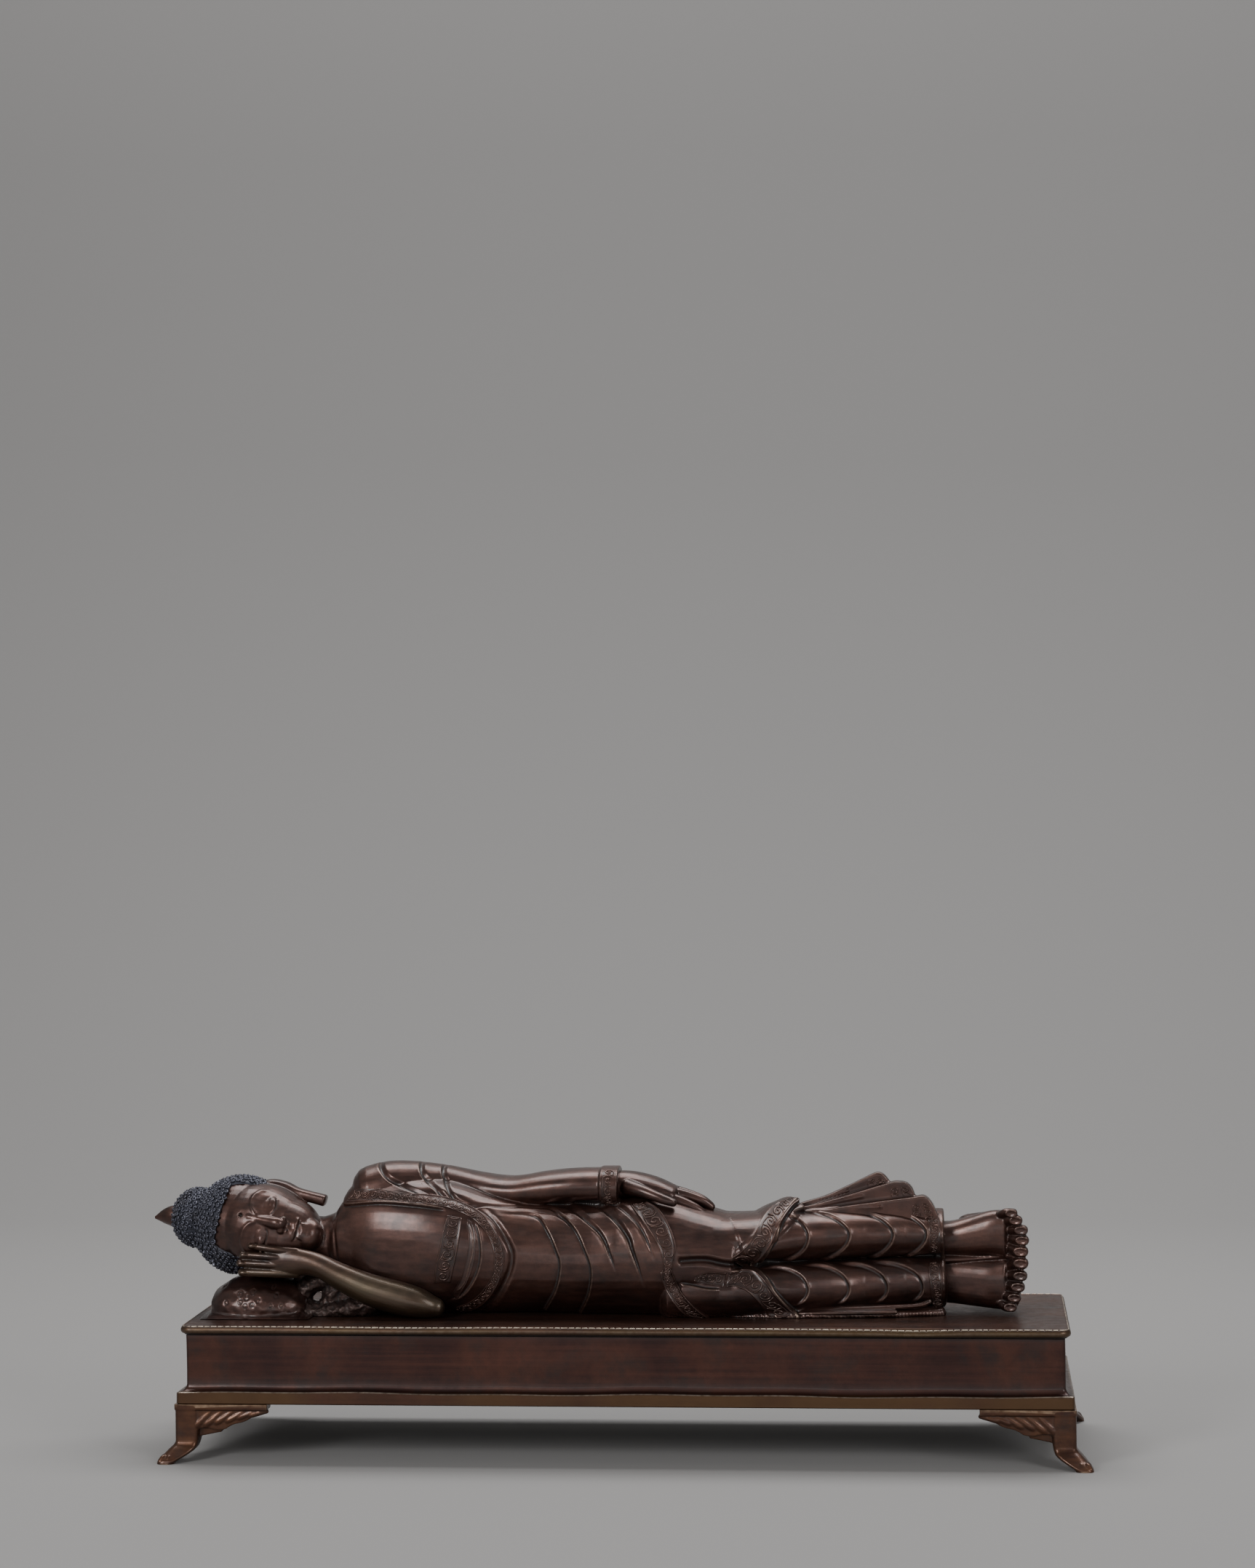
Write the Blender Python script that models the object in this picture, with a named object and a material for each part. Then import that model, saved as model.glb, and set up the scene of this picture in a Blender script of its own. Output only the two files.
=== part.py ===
"""A cast copper-alloy buddha reclining on a footed bed, in metres, +Z up.

The head lies towards -X and the feet towards +X. The front of the figure faces -Y.
Run it with blender --background --python part.py, or from the text editor.
"""

import math

import bmesh
import bpy
import numpy as np
from mathutils import Vector

for leftover in list(bpy.data.objects):
    bpy.data.objects.remove(leftover, do_unlink=True)

# Bed: box, base moulding and deck
BOX_LENGTH = 0.4700
BOX_DEPTH = 0.1190
BOX_HEIGHT = 0.0364
BOX_WALL = 0.0032
BOX_CORNER = 0.0020
MOULDING_STEP = 0.0046
MOULDING_FACE = 0.0066
MOULDING_SLOPE = 0.0036
DECK_OVERHANG = 0.0031
DECK_THICKNESS = 0.0050
DECK_CORNER = 0.0060
CORNER_STEPS = 5

# Feet
FOOT_HEIGHT = 0.0307
FLANGE_THICKNESS = 0.0030
FLANGE_WIDTH = 0.0095
FLANGE_STEP = 0.0014
FRONT_WING = 0.0490
SIDE_WING = 0.0360
WING_THICKNESS = 0.0044
WING_TIP = 0.0030
WING_ROOT = 0.0118
BRACKET_LENGTH = 0.0240
BRACKET_DROP = 0.0155
LEG_WIDTH = 0.0119
LEG_CORNER = 0.0022
TOE_REACH = 0.0092
LEAF_STROKES = 5
STROKE_RADIUS = 0.0011

# Figure
FIGURE_LENGTH = 0.4850
FIGURE_TRIANGLES = 6000
FIGURE_VOXEL = 0.0013
FOOT_TRIANGLES = 740
FOOT_VOXEL = 0.0008

# Clearance between pieces that rest on each other
GAP = 0.0003

BOX_BOTTOM = FOOT_HEIGHT
BOX_TOP = BOX_BOTTOM + BOX_HEIGHT
DECK_BOTTOM = BOX_TOP + GAP
DECK_TOP = DECK_BOTTOM + DECK_THICKNESS
FIGURE_BASE = DECK_TOP + GAP
MOULDING_HALF_X = BOX_LENGTH / 2 + MOULDING_STEP
MOULDING_HALF_Y = BOX_DEPTH / 2 + MOULDING_STEP

# The figure is laid out in units of 1/485 of its length, measured from the middle of the bed and the deck's top
UNIT = FIGURE_LENGTH / 485


def material(name, colour, roughness, metallic):
    mat = bpy.data.materials.new(name)
    mat.use_nodes = True
    shader = mat.node_tree.nodes["Principled BSDF"]
    shader.inputs["Base Color"].default_value = (*colour, 1.0)
    shader.inputs["Roughness"].default_value = roughness
    shader.inputs["Metallic"].default_value = metallic
    return mat


def add_object(name, mesh, mat):
    obj = bpy.data.objects.new(name, mesh)
    bpy.context.scene.collection.objects.link(obj)
    mesh.materials.clear()
    mesh.materials.append(mat)
    return obj


def mesh_of(bm, name):
    bmesh.ops.recalc_face_normals(bm, faces=bm.faces)
    mesh = bpy.data.meshes.new(name)
    bm.to_mesh(mesh)
    bm.free()
    return mesh


def modified(mesh, settings):
    """The mesh as one modifier leaves it; settings are its type and its values."""
    obj = bpy.data.objects.new("work", mesh)
    bpy.context.scene.collection.objects.link(obj)
    kind, values = settings
    modifier = obj.modifiers.new("step", kind)
    for key, value in values.items():
        setattr(modifier, key, value)
    depsgraph = bpy.context.evaluated_depsgraph_get()
    result = bpy.data.meshes.new_from_object(obj.evaluated_get(depsgraph))
    bpy.data.objects.remove(obj, do_unlink=True)
    return result


def rounded_ring(bm, half_x, half_y, radius, z):
    """One level of a rounded rectangle, as vertices in order."""
    ring = []
    for quarter in range(4):
        sign_x = (1, -1, -1, 1)[quarter]
        sign_y = (1, 1, -1, -1)[quarter]
        for step in range(CORNER_STEPS + 1):
            angle = math.pi / 2 * (quarter + step / CORNER_STEPS)
            x = sign_x * (half_x - radius) + radius * math.cos(angle)
            y = sign_y * (half_y - radius) + radius * math.sin(angle)
            ring.append(bm.verts.new((x, y, z)))
    return ring


def bridge(bm, lower, upper):
    for i in range(len(lower)):
        j = (i + 1) % len(lower)
        bm.faces.new((lower[i], lower[j], upper[j], upper[i]))


def make_deck(mat):
    """The slab with its rounded rim: the profile of the rim runs from the underside to the top."""
    half_x = BOX_LENGTH / 2 + DECK_OVERHANG
    half_y = BOX_DEPTH / 2 + DECK_OVERHANG
    profile = (
        (0.46, 0.0),
        (0.20, 0.06),
        (0.05, 0.22),
        (0.0, 0.46),
        (0.05, 0.70),
        (0.19, 0.90),
        (0.40, 1.0),
    )
    bm = bmesh.new()
    rings = []
    for inset, height in profile:
        inwards = inset * DECK_THICKNESS
        z = DECK_BOTTOM + height * DECK_THICKNESS
        rings.append(rounded_ring(bm, half_x - inwards, half_y - inwards, DECK_CORNER - inwards, z))
    for lower, upper in zip(rings, rings[1:]):
        bridge(bm, lower, upper)
    bm.faces.new(list(reversed(rings[0])))
    bm.faces.new(rings[-1])
    return add_object("deck", mesh_of(bm, "deck"), mat)


def make_bed_frame(mat):
    """A ring of apron walls; the moulding's fascia and its hollow slope stand out from the wall's foot."""
    half_x = BOX_LENGTH / 2
    half_y = BOX_DEPTH / 2
    slope_top = BOX_BOTTOM + MOULDING_FACE + MOULDING_SLOPE
    edge = MOULDING_STEP * 0.12
    outside = [
        (MOULDING_STEP - edge, BOX_BOTTOM),
        (MOULDING_STEP, BOX_BOTTOM + edge),
        (MOULDING_STEP, BOX_BOTTOM + MOULDING_FACE - edge),
        (MOULDING_STEP - edge, BOX_BOTTOM + MOULDING_FACE),
    ]
    for step in range(1, 5):
        angle = math.pi / 2 * step / 4
        out = (MOULDING_STEP - edge) * (1 - math.sin(angle))
        up = MOULDING_SLOPE * (1 - math.cos(angle))
        outside.append((out, BOX_BOTTOM + MOULDING_FACE + up))
    outside.append((0.0, slope_top + MOULDING_SLOPE))
    outside.append((0.0, BOX_TOP))
    bm = bmesh.new()
    rings = []
    for out, z in outside:
        rings.append(rounded_ring(bm, half_x + out, half_y + out, BOX_CORNER + out, z))
    inner_corner = BOX_CORNER * 0.5
    for z in (BOX_TOP, BOX_BOTTOM):
        rings.append(rounded_ring(bm, half_x - BOX_WALL, half_y - BOX_WALL, inner_corner, z))
    for i, ring in enumerate(rings):
        bridge(bm, ring, rings[(i + 1) % len(rings)])
    return add_object("bed_frame", mesh_of(bm, "bed_frame"), mat)


def catmull(points, steps):
    """Points of a smooth curve through the given rows of numbers."""
    rows = np.array(points, dtype=float)
    ends = np.vstack([2 * rows[0] - rows[1], rows, 2 * rows[-1] - rows[-2]])
    out = []
    for i in range(1, len(ends) - 2):
        a, b, c, d = ends[i - 1 : i + 3]
        for t in np.arange(steps) / steps:
            out.append(
                0.5 * (2 * b + (c - a) * t + (2 * a - 5 * b + 4 * c - d) * t**2 + (3 * b - a - 3 * c + d) * t**3)
            )
    out.append(rows[-1])
    return np.array(out)


def limb(bm, stations, sides=20, steps=4, power=2.0, caps=(0.8, 0.8)):
    """A closed tube through stations of (x, y, z, half width, half height), with rounded ends.

    power 2 gives an ellipse and more gives a squarer section.
    """
    rows = catmull(stations, steps)
    centres = rows[:, :3]
    radii = np.maximum(rows[:, 3:5], 1e-6)
    tangents = np.gradient(centres, axis=0)
    tangents /= np.linalg.norm(tangents, axis=1)[:, None]
    levels = []
    cap_steps = 4
    for k in range(cap_steps - 1, 0, -1):
        angle = math.pi / 2 * k / cap_steps
        reach = caps[0] * radii[0].min() * math.sin(angle)
        levels.append((centres[0] - tangents[0] * reach, radii[0] * math.cos(angle), tangents[0]))
    levels += list(zip(centres, radii, tangents))
    for k in range(1, cap_steps):
        angle = math.pi / 2 * k / cap_steps
        reach = caps[1] * radii[-1].min() * math.sin(angle)
        levels.append((centres[-1] + tangents[-1] * reach, radii[-1] * math.cos(angle), tangents[-1]))
    rings = []
    for centre, radius, tangent in levels:
        side = np.cross(tangent, (0.0, 0.0, 1.0))
        side /= max(np.linalg.norm(side), 1e-9)
        rise = np.cross(side, tangent)
        ring = []
        for k in range(sides):
            angle = 2 * math.pi * k / sides
            c = math.copysign(abs(math.cos(angle)) ** (2 / power), math.cos(angle))
            s = math.copysign(abs(math.sin(angle)) ** (2 / power), math.sin(angle))
            ring.append(bm.verts.new(centre + side * radius[0] * c + rise * radius[1] * s))
        rings.append(ring)
    for lower, upper in zip(rings, rings[1:]):
        bridge(bm, lower, upper)
    first = bm.verts.new(centres[0] - tangents[0] * caps[0] * radii[0].min())
    last = bm.verts.new(centres[-1] + tangents[-1] * caps[1] * radii[-1].min())
    for i in range(sides):
        j = (i + 1) % sides
        bm.faces.new((first, rings[0][j], rings[0][i]))
        bm.faces.new((last, rings[-1][i], rings[-1][j]))


def blob(bm, centre, radii, axes=None):
    """An ellipsoid; axes are its three directions as rows."""
    made = bmesh.ops.create_uvsphere(bm, u_segments=24, v_segments=16, radius=1.0)["verts"]
    frame = np.eye(3) if axes is None else np.array(axes, dtype=float)
    for vert in made:
        vert.co = Vector(np.array(centre) + (np.array(vert.co) * np.array(radii)) @ frame)


def slab(bm, outline, low, high, axis):
    """A flat outline given a thickness along axis 1 (Y) or 2 (Z)."""
    rings = []
    for level in (low, high):
        ring = []
        for a, b in outline:
            place = (a, level, b) if axis == 1 else (a, b, level)
            ring.append(bm.verts.new(place))
        rings.append(ring)
    bridge(bm, rings[0], rings[1])
    bm.faces.new(list(reversed(rings[0])))
    bm.faces.new(rings[1])


def fused(bm, name, voxel, smoothing):
    """One closed skin round everything in bm, with the cast metal's soft inner corners."""
    bmesh.ops.recalc_face_normals(bm, faces=bm.faces)
    mesh = bpy.data.meshes.new(name)
    bm.to_mesh(mesh)
    bm.free()
    skin = modified(mesh, ("REMESH", {"mode": "VOXEL", "voxel_size": voxel, "adaptivity": 0.0}))
    return modified(skin, ("SMOOTH", {"factor": 0.5, "iterations": smoothing}))


def thinned(mesh, triangles):
    ratio = triangles / (2 * len(mesh.polygons))
    settings = {"decimate_type": "COLLAPSE", "ratio": ratio, "use_collapse_triangulate": True}
    return modified(mesh, ("DECIMATE", settings))


def kept_between(mesh, low, high, reach):
    """The mesh cut flat below low and above high."""
    bm = bmesh.new()
    bmesh.ops.create_cube(bm, size=1.0)
    for vert in bm.verts:
        vert.co = (vert.co.x * 2 * reach, vert.co.y * 2 * reach, low + (vert.co.z + 0.5) * (high - low))
    cutter = bpy.data.objects.new("cutter", mesh_of(bm, "cutter"))
    bpy.context.scene.collection.objects.link(cutter)
    settings = {"object": cutter, "operation": "INTERSECT", "solver": "EXACT"}
    result = modified(mesh, ("BOOLEAN", settings))
    bpy.data.objects.remove(cutter, do_unlink=True)
    return result


def smoothstep(low, high, value):
    t = np.clip((value - low) / (high - low), 0.0, 1.0)
    return t * t * (3 - 2 * t)


def wing_depth(share):
    """How far the wing hangs below the flange, from 0 at its tip to 1 at the leg."""
    return WING_TIP + (WING_ROOT - WING_TIP) * min(share * 1.7, 1.0) ** 1.2 - 0.0006 * math.sin(5 * math.pi * share)


def add_leg(bm, top):
    """The corner leg in level slices: straight down, then sweeping outwards along the diagonal to the toe."""
    slices = (
        (top, 0.07, 1.00),
        (0.0120, 0.07, 1.00),
        (0.0105, 0.08, 0.98),
        (0.0090, 0.17, 0.95),
        (0.0075, 0.36, 0.90),
        (0.0060, 0.52, 0.79),
        (0.0045, 0.68, 0.61),
        (0.0030, 0.84, 0.39),
        (0.0016, 0.97, 0.17),
        (0.0004, 1.00, 0.03),
        (-0.0024, 0.98, 0.0),
    )
    rings = []
    for z, out, inner in slices:
        low = -out * TOE_REACH
        high = inner * LEG_WIDTH
        half = (high - low) / 2
        corner = LEG_CORNER + 0.45 * (half - LEG_CORNER) * smoothstep(0.012, 0.004, z)
        ring = rounded_ring(bm, half, half, corner, z)
        for vert in ring:
            vert.co += Vector(((low + high) / 2, (low + high) / 2, 0.0))
        rings.append(ring)
    for upper, lower in zip(rings, rings[1:]):
        bridge(bm, lower, upper)
    bm.faces.new(rings[0])
    bm.faces.new(list(reversed(rings[-1])))


def make_foot_mesh():
    """The foot of the front right corner: x and y run inwards from the moulding's outer corner."""
    top = FOOT_HEIGHT - GAP
    bm = bmesh.new()
    for along_y, length in ((False, FRONT_WING), (True, SIDE_WING)):
        outline = [(0.001, top), (length, top)]
        for step in range(9):
            share = step / 8
            outline.append((length - share * (length - LEG_WIDTH), top - FLANGE_THICKNESS * 0.5 - wing_depth(share)))
        outline.append((0.001, top - WING_ROOT))
        made = bmesh.new()
        slab(made, outline, 0.0002, 0.0002 + WING_THICKNESS, 1)
        bracket = [(0.004, top), (BRACKET_LENGTH, top), (BRACKET_LENGTH, top - BRACKET_DROP)]
        bracket.append((0.004, top - BRACKET_DROP - 0.0040))
        slab(made, bracket, WING_THICKNESS, LEG_WIDTH, 1)
        flange = [(-FLANGE_STEP, top - FLANGE_THICKNESS), (length + FLANGE_STEP, top - FLANGE_THICKNESS)]
        flange += [(length + FLANGE_STEP, top + FLANGE_THICKNESS), (-FLANGE_STEP, top + FLANGE_THICKNESS)]
        slab(made, flange, -FLANGE_STEP, FLANGE_WIDTH, 1)
        for stroke in range(LEAF_STROKES):
            share = (stroke + 0.6) / LEAF_STROKES
            foot_x = length * (1 - 0.80 * share)
            drop = wing_depth(0.80 * share)
            high = (foot_x + 0.0030, 0.0, top - FLANGE_THICKNESS - 0.0006, STROKE_RADIUS, STROKE_RADIUS)
            middle = (foot_x - 0.0018, -0.0002, top - FLANGE_THICKNESS - drop * 0.42, STROKE_RADIUS, STROKE_RADIUS)
            low = (foot_x - 0.0060, 0.0002, top - FLANGE_THICKNESS - drop * 0.78, STROKE_RADIUS, STROKE_RADIUS)
            limb(made, (high, middle, low), sides=8, steps=3)
        if along_y:
            for vert in made.verts:
                vert.co = (vert.co.y, vert.co.x, vert.co.z)
            bmesh.ops.reverse_faces(made, faces=made.faces)
        bmesh.ops.recalc_face_normals(made, faces=made.faces)
        piece = bpy.data.meshes.new("wing")
        made.to_mesh(piece)
        made.free()
        bm.from_mesh(piece)
    add_leg(bm, top)
    skin = fused(bm, "foot", FOOT_VOXEL, 3)
    return kept_between(thinned(skin, FOOT_TRIANGLES), 0.0, top, 1.0)


def make_feet(mat):
    base = make_foot_mesh()
    for side_name, sign_x in (("left", -1), ("right", 1)):
        for row_name, sign_y in (("front", -1), ("back", 1)):
            bm = bmesh.new()
            bm.from_mesh(base)
            for vert in bm.verts:
                x = sign_x * (MOULDING_HALF_X - vert.co.x)
                y = sign_y * (MOULDING_HALF_Y - vert.co.y)
                vert.co = (x, y, vert.co.z)
            if sign_x * sign_y < 0:
                bmesh.ops.reverse_faces(bm, faces=bm.faces)
            mesh = bpy.data.meshes.new("foot")
            bm.to_mesh(mesh)
            bm.free()
            add_object(f"foot_{row_name}_{side_name}", mesh, mat)


# Head: its own directions, with the crown towards -X and a little up, and the face turned up from the front
HEAD_TILT = math.radians(14)
HEAD_TURN = math.radians(20)
HEAD_UP = np.array((-math.cos(HEAD_TILT), 0.0, math.sin(HEAD_TILT)))
HEAD_SIDE = np.array((math.sin(HEAD_TILT), 0.0, math.cos(HEAD_TILT)))
HEAD_FRONT = HEAD_SIDE * math.sin(HEAD_TURN) + np.array((0.0, -math.cos(HEAD_TURN), 0.0))
HEAD_LEFT = HEAD_SIDE * math.cos(HEAD_TURN) + np.array((0.0, math.sin(HEAD_TURN), 0.0))
HEAD_AXES = (HEAD_LEFT, HEAD_FRONT, HEAD_UP)
FACE_LENGTH = 54.0
HAIRLINE = np.array((-223.0, -2.0, 49.0))
HAIR_SLANT = 0.74


def head_point(left, front, down):
    """A point in the head: left of its middle plane, in front of the ears, and down from the hairline."""
    return HAIRLINE + HEAD_LEFT * left + HEAD_FRONT * front - HEAD_UP * down


def add_hair(bm):
    """The cap of hair, cut off along a plane that slants from the hairline back to the nape."""
    cap = bmesh.new()
    blob(cap, head_point(0, -3.6, 7.0), (27.9, 27.8, 28.0), HEAD_AXES)
    normal = Vector(-HEAD_UP + HEAD_FRONT * HAIR_SLANT).normalized()
    everything = cap.verts[:] + cap.edges[:] + cap.faces[:]
    place = Vector(head_point(0, 22.0, 0.5))
    cut = bmesh.ops.bisect_plane(cap, geom=everything, plane_co=place, plane_no=normal, clear_outer=True)
    rim = [item for item in cut["geom_cut"] if isinstance(item, bmesh.types.BMEdge)]
    bmesh.ops.contextual_create(cap, geom=rim)
    bmesh.ops.recalc_face_normals(cap, faces=cap.faces)
    piece = bpy.data.meshes.new("hair")
    cap.to_mesh(piece)
    cap.free()
    bm.from_mesh(piece)
    blob(bm, (-241.0, 2.0, 49.9), (16.0, 16.4, 17.1))
    flame = (
        (-249, 3, 50, 6.8, 6.8),
        (-256, 3, 50.6, 5.8, 6.0),
        (-261, 3, 50.4, 3.8, 4.2),
        (-266.4, 3, 49.8, 1.0, 1.1),
    )
    limb(bm, flame, sides=14)


def add_head(bm):
    third = FACE_LENGTH / 3
    blob(bm, head_point(0, -3, 8), (25.4, 25.4, 25.6), HEAD_AXES)
    blob(bm, head_point(0, 2, 20), (24.6, 25.0, 29.5), HEAD_AXES)
    blob(bm, head_point(0, 5, 35), (19.6, 19.8, 18.8), HEAD_AXES)
    add_hair(bm)
    bridge_top = head_point(0, 27.4, third - 1)
    tip = head_point(0, 32.0, 2 * third - 4)
    limb(bm, ((*bridge_top, 2.0, 2.0), (*((bridge_top + tip) / 2), 2.6, 2.6), (*tip, 3.5, 3.3)), sides=12)
    for side in (-1, 1):
        wing = head_point(side * 3.9, 27.6, 2 * third - 2.8)
        blob(bm, wing, (2.5, 2.7, 2.7), HEAD_AXES)
        brow = []
        for left in (2, 6, 10, 14, 18):
            place = head_point(side * left, 27.6 - left**2 * 0.042, third + 1.0 - 5.5 * math.sin(left / 6.2))
            brow.append((*place, 1.2, 1.2))
        limb(bm, brow, sides=8)
        blob(bm, head_point(side * 9.0, 20.8, third + 6.2), (5.6, 5.4, 4.0), HEAD_AXES)
    mouth = 2 * third + third / 3
    for offset, width, out in ((-1.2, 6.6, 25.9), (1.6, 5.0, 25.4)):
        lip = []
        for a in (-1, -0.4, 0.4, 1):
            lip.append((*head_point(a * width, out - abs(a) * 2.2, mouth + offset - abs(a) * 0.6), 1.4, 1.4))
        limb(bm, lip, sides=8)
    blob(bm, head_point(0, 16, FACE_LENGTH - 5.5), (8.5, 8.6, 7.0), HEAD_AXES)
    ear = (
        (-208, 5, 65.5, 3.6, 2.6),
        (-201, 5, 68.0, 4.6, 3.0),
        (-193, 4.5, 66.8, 4.4, 3.0),
        (-186, 3.5, 63.6, 4.0, 3.0),
        (-178, 2.5, 61.4, 4.0, 3.1),
        (-170, 2, 59.4, 4.3, 3.3),
    )
    limb(bm, ear, sides=12, power=2.8, caps=(0.8, 0.35))
    neck = ((-192, 1, 38, 17, 16), (-178, 0, 36.5, 16, 15.2), (-170, 0, 36, 15.6, 15), (-163, 0, 35.5, 18.7, 18.8))
    limb(bm, neck, sides=24)


def add_pillow(bm):
    dome = (
        (-222.5, -3, 3, 27, 12),
        (-214, -4, 4, 31, 15.6),
        (-202, -4, 4.4, 33, 16.8),
        (-190, -4, 4, 31, 15),
        (-182, -3, 3, 27, 11),
    )
    limb(bm, dome, sides=28, power=2.2, caps=(0.5, 0.5))
    limb(bm, ((-228, -7, -4, 34.5, 7.0), (-178, -7, -4, 34.5, 7.0)), sides=28, power=3.0, caps=(0.2, 0.2))
    limb(bm, ((-232, -9, -4, 37, 5.2), (-172, -9, -4, 37, 5.2)), sides=28, power=3.0, caps=(0.2, 0.2))


def add_web(bm):
    """Rough metal left in the corner between the pillow, the neck and the forearm, with one hole through it."""
    strands = (
        ((-182, -18, 4, 8, 5), (-170, -18, 1, 9, 4.6), (-155, -18, 3, 12, 6), (-140, -18, 6, 12, 8)),
        ((-181, -16, 6, 7, 6), (-177.5, -16, 13, 6, 5), (-171, -15, 17.6, 7, 5), (-160, -14, 17, 9, 6)),
        ((-163, -16, 3, 8, 5), (-162, -16, 12, 8, 6), (-156, -14, 20, 9, 6)),
        ((-182, -8, 20, 9, 5), (-172, -8, 22, 10, 4), (-160, -8, 24, 12, 6)),
    )
    for stations in strands:
        limb(bm, stations, sides=14)


def add_trunk(bm):
    trunk = (
        (-172, 0, 36, 15, 14.4),
        (-163, 0, 35.5, 18.5, 18.6),
        (-155.5, -1, 35.5, 23.5, 27),
        (-148, -1, 36, 26.5, 34.5),
        (-138, -1, 36, 28.5, 37.5),
        (-120, -1, 35.5, 30.5, 38.5),
        (-100, -1, 34.5, 31.5, 37),
        (-78, -1, 31.5, 31, 33),
        (-52, 0, 29.5, 29.5, 30.5),
        (-28, 0, 29, 30, 30.5),
        (-4, 0, 30, 32, 32.5),
        (16, 0, 30.5, 33, 33.5),
        (36, 1, 28.5, 32.5, 29.5),
        (56, 2, 26, 31.5, 26),
    )
    limb(bm, trunk, sides=36, power=2.25, caps=(0.1, 0.3))
    upper = (
        (24, 2, 38, 30, 22),
        (48, 2, 38.5, 29, 15.5),
        (70, 2, 39.5, 27, 14),
        (96, 4, 41.5, 24.5, 14),
        (122, 6, 42.5, 22.5, 14),
        (148, 7, 42.5, 20.5, 13.5),
        (169, 8, 41.5, 19.5, 12.5),
    )
    limb(bm, upper, sides=30, power=2.2, caps=(0.4, 0.15))
    lower = (
        (24, 0, 12, 31, 20),
        (52, -1, 12.5, 30.5, 17.5),
        (76, -1, 13, 28, 16.5),
        (100, 1, 13.5, 25.5, 16),
        (124, 4, 14.5, 23, 15.5),
        (148, 6, 15.5, 21, 15),
        (170, 8, 16, 19.5, 14.5),
    )
    limb(bm, lower, sides=30, power=2.2, caps=(0.4, 0.15))


def add_arms(bm):
    upper_arm = (
        (-143, 0, 64, 17, 15),
        (-132, 1, 66, 17, 15.5),
        (-116, 3, 66, 15.5, 15),
        (-100, 6, 66.5, 13.5, 12),
        (-84, 6, 66.5, 14, 8.6),
        (-72, 5, 65.5, 15, 7.8),
        (-60, 3, 65, 15.5, 8.4),
        (-44, 0, 67, 16, 9.3),
        (-28, -2, 68.6, 16, 9.4),
        (-12, -3, 68.6, 15.5, 9.8),
        (-7, -3, 68.4, 15.5, 9.8),
    )
    limb(bm, upper_arm, sides=24, power=2.2, caps=(0.7, 0.12))
    palm = ((-10, -1, 68.5, 10.5, 8), (2, -1, 68.4, 11, 7.8), (14, -2, 66.8, 11.6, 6.6), (24, -2, 63.8, 11, 5.2))
    limb(bm, palm, sides=16)
    for finger in range(4):
        y = -9.5 + finger * 5.4
        drop = 0.05 * (y + 1) ** 2
        reach = (42.5, 46, 45, 40)[finger]
        stations = (
            (12, y, 68 - drop, 3, 3.1),
            (26, y - 0.6, 65.2 - drop, 3, 3.1),
            (reach - 6, y - 0.6, 61.0 - drop, 2.6, 2.7),
            (reach, y, 57.2 - drop, 2, 2.1),
        )
        limb(bm, stations, sides=10)
    thumb = ((0, -10, 68.6, 4, 4.4), (8, -15, 67, 3.7, 3.6), (16, -18.4, 64.6, 3.1, 2.9), (26.3, -19.6, 61, 2.6, 2.4))
    limb(bm, thumb, sides=10)
    forearm = (
        (-104, -31, 6.2, 6.0, 6.0),
        (-112, -31.5, 7.5, 7.6, 7.6),
        (-124, -31, 10.2, 8.6, 8.8),
        (-140, -30, 14.6, 8.2, 8.6),
        (-156, -29, 21.5, 6.8, 7.0),
        (-170, -28, 30.0, 6.0, 6.4),
    )
    limb(bm, forearm, sides=18)
    limb(bm, ((-140, -4, 12, 14, 11), (-126, -14, 11, 12, 11), (-108, -28, 7, 7.5, 7)), sides=18)
    limb(bm, ((-168, -28, 29, 5.5, 6.6), (-180, -27.5, 29.5, 5.0, 8.6), (-194, -26.5, 29.5, 4.6, 8.6)), sides=16)
    fingers = (
        (35.4, -207.6, 38.6, 2.1),
        (31.6, -212.2, 33.6, 2.3),
        (27.6, -213.6, 29.0, 2.4),
        (23.4, -212.6, 24.0, 2.5),
    )
    for root_z, tip_x, tip_z, girth in fingers:
        root = (-180, -28.4, root_z, girth, girth)
        bend = (-192, -29.2, root_z + (tip_z - root_z) * 0.4, girth, girth)
        limb(bm, (root, bend, (tip_x + 1.5, -28.4, tip_z, girth * 0.85, girth * 0.9)), sides=10)


# Toes of the upper foot and of the lower one: tip's x, height, radius
TOES = (
    ((212.0, 54.6, 2.5), (214.7, 50.6, 2.75), (217.6, 45.4, 2.85), (218.1, 39.9, 2.85), (217.7, 34.2, 3.0)),
    ((217.7, 27.0, 3.1), (217.0, 20.8, 2.95), (215.6, 14.8, 2.9), (213.5, 9.0, 2.8), (211.1, 3.9, 2.7)),
)


def add_feet_of_figure(bm):
    for ankle, ball, low, high in ((38.3, 42.4, 9.4, 13.0), (16.4, 15.0, 12.8, 14.0)):
        middle = (ankle + ball) / 2
        stations = (
            (162, 9, ankle, 12.5, low),
            (176, 7, ankle, 11.2, low + 0.3),
            (189, 3, middle, 10.0, (low + high) / 2),
            (199, -1, ball, 8.6, high - 0.6),
            (206.5, -4.2, ball, 6.2, high),
        )
        limb(bm, stations, sides=24, power=2.5, caps=(0.3, 0.35))
        limb(bm, ((186, 18, middle, 11, 10), (198, 24, middle, 10, 10.6), (206, 22, middle, 6, 10)), sides=18)
        sole = ((206, 26, middle, 5.5, 9.5), (207.5, 12, middle, 5.4, 11), (209, -2, ball, 5, high - 0.3))
        limb(bm, sole, sides=18, power=2.6)
    for row in TOES:
        for tip_x, z, girth in row:
            root = (tip_x - 10.5, -6.4, z, girth, girth)
            bend = (tip_x - 6.5, -9.8, z, girth, girth)
            limb(bm, (root, bend, (tip_x - girth, -11.2, z, girth, girth)), sides=10, caps=(0.5, 0.9))


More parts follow.
